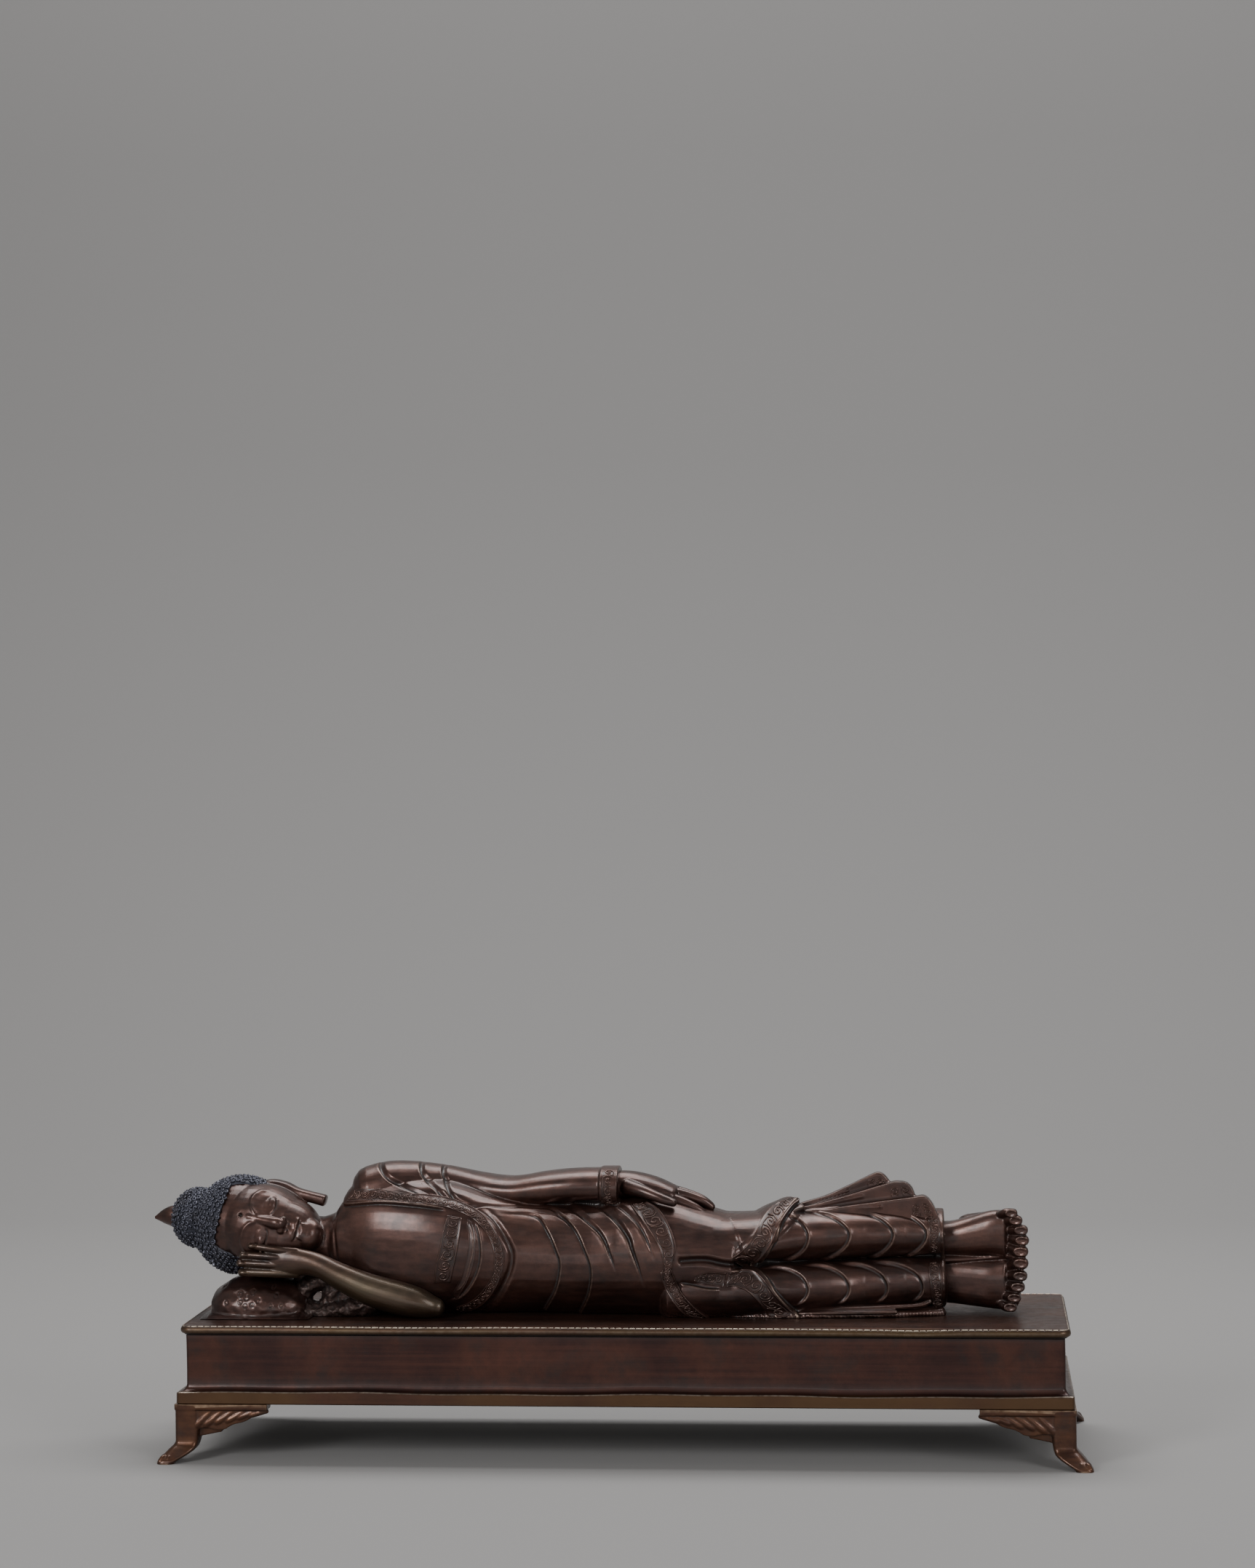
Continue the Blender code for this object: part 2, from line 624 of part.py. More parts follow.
def add_robe_forms(bm):
    """The parts of the robe that stand clear of the body: the cuff, the fan of pleats, the hems."""
    cuff = ((-14.6, -3, 68.6, 17.3, 11.1), (-4.8, -3, 68.4, 17.5, 11.3))
    limb(bm, cuff, sides=24, power=2.3, caps=(0.04, 0.04))
    highest = ((86, 50), (92, 57), (107, 61.8), (121, 68), (133.5, 74), (137, 74.8), (140, 73.4), (143, 69.6))
    middle = ((88, 50), (100, 57), (120, 63), (142.7, 69.8), (148, 70.5), (152.4, 69.6), (155.4, 66.4), (157, 61))
    lowest = ((90, 48), (110, 56), (135, 59.9), (156, 62.7), (161.3, 63.3), (165, 60.6), (168, 55), (170, 40))
    for outline, front, back in ((highest, 2.5, 8.5), (middle, -3.0, 4.5), (lowest, -8.5, 0.5)):
        slab(bm, (*outline, (130, 48)), front, back, 1)
    limb(bm, ((58, -6, 34, 22, 8), (70, -4, 42, 23, 9), (80, 0, 49, 22, 8), (89, 4, 55, 15, 6)), sides=20)
    limb(bm, ((168, 7, 41.5, 21, 13.2), (171.5, 7, 41.5, 21, 13.2)), sides=24, caps=(0.05, 0.05))
    limb(bm, ((168.5, 7, 16.5, 21.5, 15.0), (172, 7, 16.5, 21.5, 15.0)), sides=24, caps=(0.05, 0.05))
    limb(bm, ((30, -8, -2, 14, 4), (100, -17, 0.6, 9, 3.4), (140, -15, 1, 8, 3), (170, -10, 1, 6, 3)), sides=14)
    limb(bm, ((90, -20, 0.6, 2.4, 1.6), (98, -23.5, 2, 2.4, 1.6), (122, -25, 2.6, 2.2, 1.5), (146, -24, 2.9, 1.8, 1.4)), sides=10)
    edge = ((96, -19, 2.2, 3.8, 2.4), (120, -21, 4.2, 3.6, 2.2), (143, -19.5, 5, 3.2, 2), (158, -17.5, 5.8, 2.8, 1.8))
    limb(bm, edge, sides=10)


def fold_lines():
    """Fold lines as seen from the front: (points, kind, height, spread); a step's high side is on its left."""
    lines = []
    swags = (
        ((-72, 56), (-50, 54), (-42, 46), (-37, 36), (-35, 28), (-38, 15), (-46, 2)),
        ((-54, 56), (-37, 54), (-27, 47), (-21, 36), (-18, 26), (-20, 13), (-27, 0)),
    )
    for points in swags:
        lines.append((catmull(points, 6), "step", 1.5, 9.0))
    pleats = (
        ((-48, 59), (-31, 56), (-20, 50), (-12, 43), (-7, 32), (-4, 23)),
        ((-33, 59), (-16, 58), (-6, 52), (1, 44), (4, 37), (8, 26), (11, 14)),
        ((-18, 60), (-5, 58.5), (4, 53), (10, 46), (14, 38), (17, 30)),
        ((-141, 84), (-132, 73), (-121, 68), (-110, 65), (-98, 62)),
        ((-117, 85), (-113, 74), (-105, 68), (-94, 62)),
    )
    for points in pleats:
        lines.append((catmull(points, 6), "groove", 1.3, 2.8))
    for end in (99, 121, 144.5, 162.5):
        top = ((end - 40, 54), (end - 19, 55), (end - 6, 52), (end, 44), (end - 3, 37), (end - 13, 31), (end - 27, 27.5))
        lines.append((catmull(top, 6), "step", 1.3, 9.0))
        low = ((end - 20, 27), (end - 9, 24), (end - 2, 17.5), (end - 1.5, 12), (end - 7, 6))
        lines.append((catmull(low, 6), "step", 1.2, 9.0))
    chest_edge = ((-119, 61), (-103, 60), (-92, 57), (-82, 52), (-76, 46), (-72.5, 39), (-71.5, 31), (-73.5, 22), (-79, 14))
    lines.append((catmull(chest_edge + ((-86, 8), (-95, 4)), 6), "step", 1.0, 3.0))
    beyond = ((-119, 67), (-102, 65.5), (-85, 60.5), (-74, 54.5), (-66.5, 46), (-61.5, 36), (-62, 27), (-66, 17.5))
    lines.append((catmull(beyond + ((-71.5, 9), (-80, 2), (-92, -1)), 6), "groove", 1.9, 3.0))
    chest_lines = (
        ((-97, 56), (-101, 36), (-104, 19)),
        ((-88, 54), (-91, 32), (-94, 21)),
        ((-82, 53), (-78, 36), (-89, 12)),
    )
    for points in chest_lines:
        lines.append((catmull(points, 6), "groove", 1.1, 2.0))
    lines.append((catmull(((-157, 58.5), (-135, 61), (-114, 60), (-97, 58)), 6), "step", 1.6, 8.0))
    ribbon = ((1, 60), (8, 52), (14, 45), (18.5, 37), (20.5, 30), (20.5, 19), (24, 11), (30, 3), (36, -1))
    lines.append((catmull(ribbon, 6), "step", 2.0, 5.0))
    ribbon_end = ((11, 61), (19, 58), (25, 51), (28.5, 43), (29, 36), (27, 27), (32, 15), (38, 8), (47, 0))
    lines.append((catmull(ribbon_end[::-1], 6), "step", 2.0, 5.0))
    upper_hem = ((66, 26.5), (72, 29), (78, 35.5), (82.5, 43.5), (85.5, 51.5), (90, 57), (97, 61.5))
    lines.append((catmull(upper_hem, 6), "step", 2.6, 12.0))
    lower_hem = ((95, 0), (89, 6), (82, 14), (78, 20), (71.5, 25.5), (64, 26.5), (56, 25.5))
    lines.append((catmull(lower_hem, 6), "step", 2.4, 11.0))
    upper_seam = ((55, 32), (63, 37.5), (69, 45), (74, 54), (82, 60.5))
    lower_seam = ((54, 16), (59, 16.5), (66, 13.5), (72, 7.5), (76, 0))
    for points in (upper_seam, lower_seam):
        lines.append((catmull(points, 6), "groove", 1.0, 2.0))
    lines.append((catmull(((29, 31), (60, 28.8), (100, 28.2), (140, 29.5), (171, 31)), 6), "groove", 2.3, 3.2))
    return lines


def signed_distance(points, curve):
    """Distance of each (x, z) point from the curve, positive on its left, and the share along it."""
    best = np.full(len(points), 1e9)
    sign = np.ones(len(points))
    along = np.zeros(len(points))
    for i in range(len(curve) - 1):
        a, b = curve[i], curve[i + 1]
        span = b - a
        offset = points - a
        t = np.clip(offset @ span / max(span @ span, 1e-12), 0.0, 1.0)
        away = offset - t[:, None] * span
        distance = np.hypot(away[:, 0], away[:, 1])
        near = distance < best
        best = np.where(near, distance, best)
        side = span[0] * offset[:, 1] - span[1] * offset[:, 0]
        sign = np.where(near, np.where(side >= 0, 1.0, -1.0), sign)
        along = np.where(near, (i + t) / (len(curve) - 1), along)
    return best * sign, along


def fold_height(points, curve, kind, height, spread):
    distance, along = signed_distance(points, curve)
    fade = smoothstep(0.0, 0.10, along) * smoothstep(0.0, 0.10, 1.0 - along)
    if kind == "groove":
        return -height * np.exp(-((distance / (spread * 0.5)) ** 2)) * fade
    high = np.exp(-np.maximum(distance, 0.0) / spread)
    low = -0.35 * np.exp(np.minimum(distance, 0.0) / (spread * 0.35))
    blend = smoothstep(-0.7, 0.7, distance)
    return height * (high * blend + low * (1 - blend)) * fade


def back_folds(points):
    """Long plain folds that sweep over the back, from the shoulder to the hem."""
    x, z = points[:, 0], points[:, 1]
    body = smoothstep(-140, -110, x) * smoothstep(-172, -158, -x)
    wave = np.sin((z + 0.14 * x) * 2 * math.pi / 17.0)
    return 0.8 * wave * np.abs(wave) * body


def fold_cloth(mesh):
    count = len(mesh.vertices)
    places = np.empty(count * 3)
    mesh.vertices.foreach_get("co", places)
    places = places.reshape(-1, 3)
    normals = np.empty(count * 3)
    mesh.vertices.foreach_get("normal", normals)
    normals = normals.reshape(-1, 3)
    flat = places[:, (0, 2)] / UNIT
    front = smoothstep(-0.25, 0.30, -normals[:, 1])
    rise = np.zeros(count)
    for curve, kind, height, spread in fold_lines():
        low, high = curve.min(0) - 3 * spread, curve.max(0) + 3 * spread
        near = ((flat > low) & (flat < high)).all(1) & (front > 0)
        rise[near] += fold_height(flat[near], curve, kind, height, spread)
    arm = smoothstep(-100, -88, flat[:, 0]) * smoothstep(59, 63, flat[:, 1]) * smoothstep(-62, -48, -flat[:, 0])
    bare = smoothstep(-156, -162, flat[:, 0]) + smoothstep(173, 176, flat[:, 0])
    elbow = (places[:, 1] / UNIT < -26) & (flat[:, 0] < -98) & (flat[:, 1] < 0.62 * (-flat[:, 0] - 100) + 14)
    keep = np.clip(1.0 - arm - bare, 0.0, 1.0) * np.where(elbow, 0.0, 1.0)
    rise = rise * front * keep + back_folds(flat) * smoothstep(0.2, 0.6, normals[:, 1])
    moved = places + normals * (rise * UNIT)[:, None]
    mesh.vertices.foreach_set("co", moved.reshape(-1))
    mesh.update()


def make_figure(mat):
    bm = bmesh.new()
    add_pillow(bm)
    add_web(bm)
    add_trunk(bm)
    add_head(bm)
    add_arms(bm)
    add_feet_of_figure(bm)
    add_robe_forms(bm)
    for vert in bm.verts:
        vert.co *= UNIT
    skin = fused(bm, "figure", FIGURE_VOXEL, 4)
    fold_cloth(skin)
    thin = thinned(skin, FIGURE_TRIANGLES)
    for vert in thin.vertices:
        vert.co.z += FIGURE_BASE
    cut = kept_between(thin, FIGURE_BASE, FIGURE_BASE + 1.0, 1.0)
    return add_object("reclining_figure", cut, mat)


def centre_over_origin():
    """Moves the whole object along X, so that the origin lies under the middle of its length."""
    ends = [vert.co.x for obj in bpy.context.scene.objects for vert in obj.data.vertices]
    middle = (min(ends) + max(ends)) / 2
    for obj in bpy.context.scene.objects:
        obj.location.x = -middle


bronze = material("figure_bronze", (0.115, 0.058, 0.047), 0.36, 0.9)
bed_bronze = material("bed_bronze", (0.105, 0.040, 0.028), 0.40, 0.9)
make_figure(bronze)
make_deck(bed_bronze)
make_bed_frame(bed_bronze)
make_feet(bed_bronze)
centre_over_origin()
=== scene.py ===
"""A cast copper-alloy buddha reclining on a footed bed, on a pale studio floor.

The bed is laid out in metres. The figure is laid out in millimetres from the middle of the bed and the
top of its deck, with the head towards -X and the front towards -Y, and is turned into metres when placed.
"""

import math

import bmesh
import bpy
import numpy as np
from mathutils import Matrix, Vector, noise
from mathutils.bvhtree import BVHTree


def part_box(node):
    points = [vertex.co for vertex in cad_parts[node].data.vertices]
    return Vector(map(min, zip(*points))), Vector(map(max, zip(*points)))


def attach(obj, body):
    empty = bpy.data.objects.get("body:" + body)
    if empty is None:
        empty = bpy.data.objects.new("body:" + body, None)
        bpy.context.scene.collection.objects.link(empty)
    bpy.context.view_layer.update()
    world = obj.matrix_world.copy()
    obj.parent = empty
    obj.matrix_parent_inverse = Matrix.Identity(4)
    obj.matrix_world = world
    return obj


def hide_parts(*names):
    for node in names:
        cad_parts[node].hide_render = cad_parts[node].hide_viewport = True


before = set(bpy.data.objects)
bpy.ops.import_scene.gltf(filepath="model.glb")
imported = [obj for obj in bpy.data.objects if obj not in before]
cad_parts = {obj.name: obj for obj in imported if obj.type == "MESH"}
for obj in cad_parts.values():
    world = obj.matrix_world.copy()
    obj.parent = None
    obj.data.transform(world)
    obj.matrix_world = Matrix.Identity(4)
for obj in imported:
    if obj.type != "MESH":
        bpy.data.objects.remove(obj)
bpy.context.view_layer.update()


# Bed box and base moulding
# Four plain apron walls, cast in one with the moulding that steps out round their foot.
# The walls were brushed lengthwise and lacquered red brown; the moulding's top edge is rubbed bright.
BOX_CORNER = 0.0020
MOULDING_FACE = 0.0066
MOULDING_SLOPE = 0.0036
BOX_WALL = 0.0032
frame_low, frame_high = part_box("bed_frame")
deck_low, deck_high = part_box("deck")
BED_X = (deck_low.x + deck_high.x) / 2
BOX_HALF = (0.2350, 0.0595)
MOULDING_STEP = (frame_high.x - frame_low.x) / 2 - BOX_HALF[0]


def work_object(mesh):
    obj = bpy.data.objects.new("work", mesh)
    bpy.context.scene.collection.objects.link(obj)
    return obj


def evaluated(obj):
    """The mesh as the object's modifier leaves it; the object goes."""
    depsgraph = bpy.context.evaluated_depsgraph_get()
    result = bpy.data.meshes.new_from_object(obj.evaluated_get(depsgraph))
    bpy.data.objects.remove(obj, do_unlink=True)
    return result


def modified(mesh, kind, **values):
    """The mesh as one modifier leaves it."""
    obj = work_object(mesh)
    modifier = obj.modifiers.new("step", kind)
    for key, value in values.items():
        setattr(modifier, key, value)
    return evaluated(obj)


def mesh_of(bm):
    bmesh.ops.recalc_face_normals(bm, faces=bm.faces)
    mesh = bpy.data.meshes.new("piece")
    bm.to_mesh(mesh)
    bm.free()
    return mesh


def read(mesh, what="co"):
    values = np.empty(len(mesh.vertices) * 3)
    mesh.vertices.foreach_get(what, values)
    return values.reshape(-1, 3)


def write(mesh, places):
    mesh.vertices.foreach_set("co", places.reshape(-1))
    mesh.update()


def set_relief(mesh, values):
    """Keeps how far each vertex stands over its surroundings in mm, or a tone given in its place; the finish
    darkens lows, rubs highs.
    """
    layer = mesh.attributes.get("relief") or mesh.attributes.new("relief", "FLOAT", "POINT")
    layer.data.foreach_set("value", np.asarray(values, dtype=np.float32))


def measure_relief(mesh, iterations, gain=1.0):
    smooth = modified(mesh, "SMOOTH", factor=0.5, iterations=iterations)
    set_relief(mesh, ((read(mesh) - read(smooth)) * read(mesh, "normal")).sum(1) * gain)


def thinned(mesh, most):
    """The mesh with no more triangles than that, thinned first where it is flattest."""
    mesh.calc_loop_triangles()
    return modified(mesh, "DECIMATE", ratio=min(most / len(mesh.loop_triangles), 1.0))


def show(name, mesh, mat, node, corner=None):
    """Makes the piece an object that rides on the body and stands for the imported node."""
    mesh.name = name
    mesh.materials.clear()
    mesh.materials.append(mat)
    mesh.shade_smooth()
    if corner is not None:
        mesh.set_sharp_from_angle(angle=math.radians(corner))
    obj = bpy.data.objects.new(name, mesh)
    bpy.context.scene.collection.objects.link(obj)
    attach(obj, "root")
    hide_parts(node)


def outline(half_x, half_y, radius, spacing, mitred=False):
    """Points, outward directions and running length round a rounded rectangle about the bed's middle."""
    points, outward = [], []
    corners = ((1, 1), (-1, 1), (-1, -1), (1, -1))
    for quarter in range(4):
        centre = np.array(corners[quarter]) * (half_x - radius, half_y - radius)
        after = np.array(corners[(quarter + 1) % 4]) * (half_x - radius, half_y - radius)
        for step in range(7):
            angle = math.pi / 2 * (quarter + step / 6)
            direction = np.array((math.cos(angle), math.sin(angle)))
            points.append(centre + direction * radius)
            outward.append(np.array(corners[quarter]) if mitred else direction)
        length = np.linalg.norm(after - centre)
        count = max(int(length / spacing), 2)
        for step in range(1, count):
            points.append(centre + (after - centre) * step / count + direction * radius)
            outward.append(direction)
    points = np.array(points)
    steps = np.linalg.norm(np.roll(points, -1, 0) - points, axis=1)
    return points + (BED_X, 0.0), np.array(outward), np.concatenate([[0.0], np.cumsum(steps)[:-1]])


def grid_mesh(rings, closed):
    """Quads through an array of rings; closed joins the last ring to the first, otherwise both are capped."""
    levels, count = rings.shape[:2]
    index = np.arange(levels * count).reshape(levels, count)
    beyond = np.roll(index, -1, 0)
    quads = np.stack([index, np.roll(index, -1, 1), np.roll(beyond, -1, 1), beyond], 2)
    quads = quads[: levels if closed else levels - 1].reshape(-1, 4).tolist()
    if not closed:
        quads += [index[0][::-1].tolist(), index[-1].tolist()]
    mesh = bpy.data.meshes.new("piece")
    mesh.from_pydata(rings.reshape(-1, 3).tolist(), [], quads)
    bm = bmesh.new()
    bm.from_mesh(mesh)
    return mesh_of(bm)


def bronze(name, shade, warm, worn, rough, coat, brushed=(90, 420, 420), speckle=1.0, low_tint=None):
    """Brown-lacquered copper alloy: cloudy colour, dark hollows of dirt and of painted shade, high spots
    rubbed to the metal.

    low_tint is (height, softness, colour): below that height the lacquer takes another colour.
    """
    mat = bpy.data.materials.new(name)
    mat.use_nodes = True
    nodes, links = mat.node_tree.nodes, mat.node_tree.links
    shader = nodes["Principled BSDF"]
    place = nodes.new("ShaderNodeTexCoord").outputs["Object"]
    relief = nodes.new("ShaderNodeAttribute")
    relief.attribute_name = "relief"

    def grain(scale, detail=3.0, roughness=0.55):
        mapping = nodes.new("ShaderNodeMapping")
        mapping.inputs["Scale"].default_value = scale if isinstance(scale, tuple) else (scale,) * 3
        links.new(place, mapping.inputs["Vector"])
        node = nodes.new("ShaderNodeTexNoise")
        node.inputs["Scale"].default_value = 1.0
        node.inputs["Detail"].default_value = detail
        node.inputs["Roughness"].default_value = roughness
        links.new(mapping.outputs["Vector"], node.inputs["Vector"])
        return node.outputs["Fac"]

    def between(value, low, high, to_low=0.0, to_high=1.0):
        node = nodes.new("ShaderNodeMapRange")
        links.new(value, node.inputs["Value"])
        for key, number in zip(("From Min", "From Max", "To Min", "To Max"), (low, high, to_low, to_high)):
            node.inputs[key].default_value = number
        return node.outputs["Result"]

    def maths(operation, a, b):
        node = nodes.new("ShaderNodeMath")
        node.operation = operation
        links.new(a, node.inputs[0])
        if isinstance(b, float):
            node.inputs[1].default_value = b
        else:
            links.new(b, node.inputs[1])
        return node.outputs[0]

    def times(a, b):
        return maths("MULTIPLY", a, b)

    def plus(a, b):
        return maths("ADD", a, b)

    def mixed(share, a, b):
        node = nodes.new("ShaderNodeMix")
        node.data_type = "RGBA"
        links.new(share, node.inputs["Factor"])
        for socket, value in zip([s for s in node.inputs if s.type == "RGBA"], (a, b)):
            if isinstance(value, tuple):
                socket.default_value = (*value, 1.0)
            else:
                links.new(value, socket)
        return [s for s in node.outputs if s.type == "RGBA"][0]

    cloud = between(grain(30.0, 5.0), 0.36, 0.64)
    mottle = between(grain(190.0, 6.0, 0.65), 0.40, 0.66)
    streak = grain(brushed, 5.0, 0.65)
    hollow = between(relief.outputs["Fac"], -0.02, -0.26)
    high = between(relief.outputs["Fac"], 0.09, 0.70)
    rub = times(high, between(grain(330.0), 0.30, 0.60, 0.25 * speckle, 0.9))
    colour = mixed(cloud, shade, warm)
    colour = mixed(times(mottle, 0.45), colour, tuple(c * 0.50 for c in shade))
    patch = between(grain(62.0, 5.0, 0.6), 0.50, 0.66)
    colour = mixed(times(patch, 0.55), colour, (shade[0] * 0.62, shade[0] * 0.52, shade[0] * 0.50))
    colour = mixed(times(between(streak, 0.42, 0.70), 0.30), colour, tuple(c * 1.6 for c in warm))
    if low_tint:
        height, soft, tint = low_tint
        level = nodes.new("ShaderNodeSeparateXYZ")
        links.new(place, level.inputs["Vector"])
        below = between(level.outputs["Z"], height + soft, height - soft)
        colour = mixed(times(below, between(grain(11.0, 4.0), 0.40, 0.60, 0.25, 0.95)), colour, tint)
    colour = mixed(rub, colour, worn)
    # Lows go near black: dirt in measured hollows, painted shade where the bed and deck give low tones.
    colour = mixed(times(hollow, 0.90), colour, tuple(c * 0.14 for c in shade))
    links.new(colour, shader.inputs["Base Color"])
    shader.inputs["IOR"].default_value = 1.5
    links.new(between(hollow, 0.0, 1.0, 0.82, 0.15), shader.inputs["Metallic"])
    dull = plus(between(mottle, 0.0, 1.0, rough - 0.05, rough + 0.08), times(hollow, 0.35))
    links.new(plus(dull, times(between(streak, 0.35, 0.7), 0.10)), shader.inputs["Roughness"])
    shader.inputs["Coat Weight"].default_value = coat
    shader.inputs["Coat Roughness"].default_value = 0.24
    bump = nodes.new("ShaderNodeBump")
    bump.inputs["Strength"].default_value = 0.30
    bump.inputs["Distance"].default_value = 0.0003
    pits = plus(times(grain(130.0), 1.2), times(grain(1200.0, 2.0), 0.12))
    links.new(plus(times(streak, 0.35), pits), bump.inputs["Height"])
    links.new(bump.outputs["Normal"], shader.inputs["Normal"])
    return mat


bed_bronze = bronze(
    "bed_bronze", (0.036, 0.012, 0.010), (0.078, 0.027, 0.017), (0.50, 0.42, 0.34), 0.34, 0.45, (7, 230, 420),
    low_tint=(frame_low.z + MOULDING_FACE, 0.0004, (0.094, 0.047, 0.018))
)


def make_bed_frame():
    edge = MOULDING_STEP * 0.12
    bottom, top = frame_low.z, frame_high.z
    face_top = bottom + MOULDING_FACE
    profile = [(MOULDING_STEP - edge, bottom, -0.05), (MOULDING_STEP, bottom + edge, 0.08)]
    for share in (0.3, 0.55, 0.8):
        profile.append((MOULDING_STEP, bottom + MOULDING_FACE * share, 0.02))
    profile.append((MOULDING_STEP, face_top - edge, 0.12))
    profile.append((MOULDING_STEP - edge * 0.6, face_top - edge * 0.3, 0.75))
    profile.append((MOULDING_STEP - edge * 1.3, face_top, 0.35))
    # The slope grades darker towards the wall: painted shade in the corner.
    for step in range(1, 7):
        angle = math.pi / 2 * step / 6
        out = (MOULDING_STEP - edge * 1.6) * (1 - math.sin(angle))
        profile.append((out, face_top + MOULDING_SLOPE * (1 - math.cos(angle)), 0.10 - 0.04 * step))
    wall_foot = profile[-1][1]
    # The wall is painted darker at its foot, in the corner over the moulding, and darkest in its top row
    # under the deck's rim: painted shade.
    for step in range(1, 13):
        painted_shade = (-0.08, -0.04, -0.02, 0.0)[min(step - 1, 12 - step, 3)] if step != 12 else -0.16
        profile.append((0.0, wall_foot + (top - wall_foot) * step / 12, painted_shade))
    base, outward, run = outline(*BOX_HALF, BOX_CORNER, 0.0030, mitred=True)
    inside = outline(BOX_HALF[0] - BOX_WALL, BOX_HALF[1] - BOX_WALL, BOX_CORNER * 0.5, 0.0030)[0]
    rings, relief = [], []
    for out, z, height in profile:
        share = min(max((z - bottom) / (face_top - bottom), 0.0), 1.0)
        fade = 1.0 - min(max((z - face_top) / (top - face_top), 0.0), 1.0)
        sway = (0.00035 * np.sin(run * 31) + 0.00025 * np.sin(run * 83 + 1.3)) * share * fade
        dent = 0.00016 * np.sin(run * 47 + 2) * np.sin((z - bottom) * 90)
        dent = np.where(np.abs(out) < MOULDING_STEP - edge, dent, -np.abs(dent))
        xy = base + outward * (out + dent)[:, None]
        rings.append(np.column_stack([xy, np.clip(z + sway, bottom, top)]))
        relief.append(height + 0.06 * np.sin(run * 140) * (height > 0.2))
    inside = np.vstack([inside, np.repeat(inside[-1:], len(base) - len(inside), 0)])
    # The box's inside faces are painted dark: painted shade inside the box.
    for z in (top, bottom):
        rings.append(np.column_stack([inside, np.full(len(base), z)]))
        relief.append(np.full(len(base), -0.2))
    mesh = grid_mesh(np.array(rings), True)
    set_relief(mesh, np.array(relief).reshape(-1))
    return mesh


show("bed_box", make_bed_frame(), bed_bronze, "bed_frame", 38)


# Deck with its milled rim
# The top slab of the bed: a soft convex rim over a groove painted dark as shade, and along its upper edge a
# fine bead that was cut across every few millimetres and rubbed bright. The rim waves a little, as it was
# filed by hand.
DECK_OVERHANG = 0.0031
DECK_CORNER = 0.0060
BEAD_PITCH = 0.00365
NICK = 0.00055
deck_bronze = bronze(
    "deck_bronze", (0.052, 0.023, 0.017), (0.088, 0.040, 0.026), (0.62, 0.54, 0.43), 0.38, 0.25,
    (7, 160, 300),
    low_tint=(deck_high.z - 0.0008, 0.0003, (0.078, 0.046, 0.019))
)


def make_deck():
    bottom, top = deck_low.z, deck_high.z
    thick = top - bottom
    # Rows are (inset, height, tone). The rows under the rim are painted near black: painted shade under the
    # overhang. The lines just under and behind the bead are darker, and so are the nicks.
    profile = (
        (0.62, 0.0, -0.35), (0.44, 0.03, -0.3), (0.36, 0.10, -0.28), (0.34, 0.17, -0.30),
        (0.16, 0.19, 0.05), (0.07, 0.28, 0.12), (0.01, 0.40, 0.12), (0.0, 0.52, 0.14), (0.03, 0.66, 0.12),
        (0.09, 0.78, 0.02), (0.15, 0.84, -0.22), (0.17, 0.89, 0.35), (0.20, 0.95, 0.70), (0.25, 0.985, 0.7),
        (0.30, 0.96, 0.3), (0.34, 0.925, -0.14), (0.55, 0.93, -0.03), (1.2, 0.935, 0.0),
    )
    base, outward, run = outline(
        BOX_HALF[0] + DECK_OVERHANG, BOX_HALF[1] + DECK_OVERHANG, DECK_CORNER, 0.0004
    )
    rng = np.random.default_rng(5)
    marks = np.arange(0.0, run[-1], BEAD_PITCH)
    marks = marks + rng.uniform(-0.0004, 0.0004, len(marks))
    gap = np.abs(run[:, None] - marks[None, :]).min(1)
    nick = np.exp(-((gap / (NICK * 0.5)) ** 2))
    sag = 0.00045 * np.exp(-(((base[:, 0] - BED_X - 0.158) / 0.016) ** 2)) * (base[:, 1] < 0)
    sway = 0.00022 * np.sin(run * 37) * np.sin(run * 11) + sag
    rings, relief = [], []
    for inset, height, rise in profile:
        bead = 0.0004 if height > 0.88 and inset < 0.32 else 0.0
        z = bottom + height * thick - sway * min(height * 2, 1.0) - nick * bead
        xy = base - outward * (inset * thick + 0.4 * nick * bead)[:, None]
        rings.append(np.column_stack([xy, np.clip(z, bottom, top)]))
        relief.append(rise - nick * (0.9 if bead else 0.0))
    mesh = grid_mesh(np.array(rings), False)
    set_relief(mesh, np.array(relief).reshape(-1))
    return mesh


show("deck", thinned(make_deck(), 60000), deck_bronze, "deck", 50)


# Bracket feet
# Each corner foot is one casting: a leaf wing along each side under a thin flange, a square leg, and a
# foot that sweeps out along the diagonal to three blunt toes. The leaf veins were chased after casting.
FLANGE_THICKNESS = 0.0030
FLANGE_WIDTH = 0.0095
FLANGE_STEP = 0.0008
FRONT_WING = 0.0490
SIDE_WING = 0.0360
WING_THICKNESS = 0.0044
WING_INSET = 0.0002
WING_STROKES = 6
WING_TIP = 0.0030
WING_ROOT = 0.0118
BRACKET_LENGTH = 0.0240
BRACKET_DROP = 0.0155
LEG_WIDTH = 0.0119
LEG_CORNER = 0.0022
TOE_REACH = 0.0092
TOE_SPREAD = ((203, 0.75), (225, 0.95), (247, 0.75))
LEG_SLICES = (
    (0.0120, 0.07, 1.00), (0.0105, 0.08, 0.98), (0.0090, 0.17, 0.95), (0.0075, 0.36, 0.90),
    (0.0060, 0.52, 0.79), (0.0045, 0.68, 0.61), (0.0030, 0.84, 0.39), (0.0016, 0.97, 0.17),
    (0.0004, 1.00, 0.03), (-0.0024, 0.98, 0.0),
)


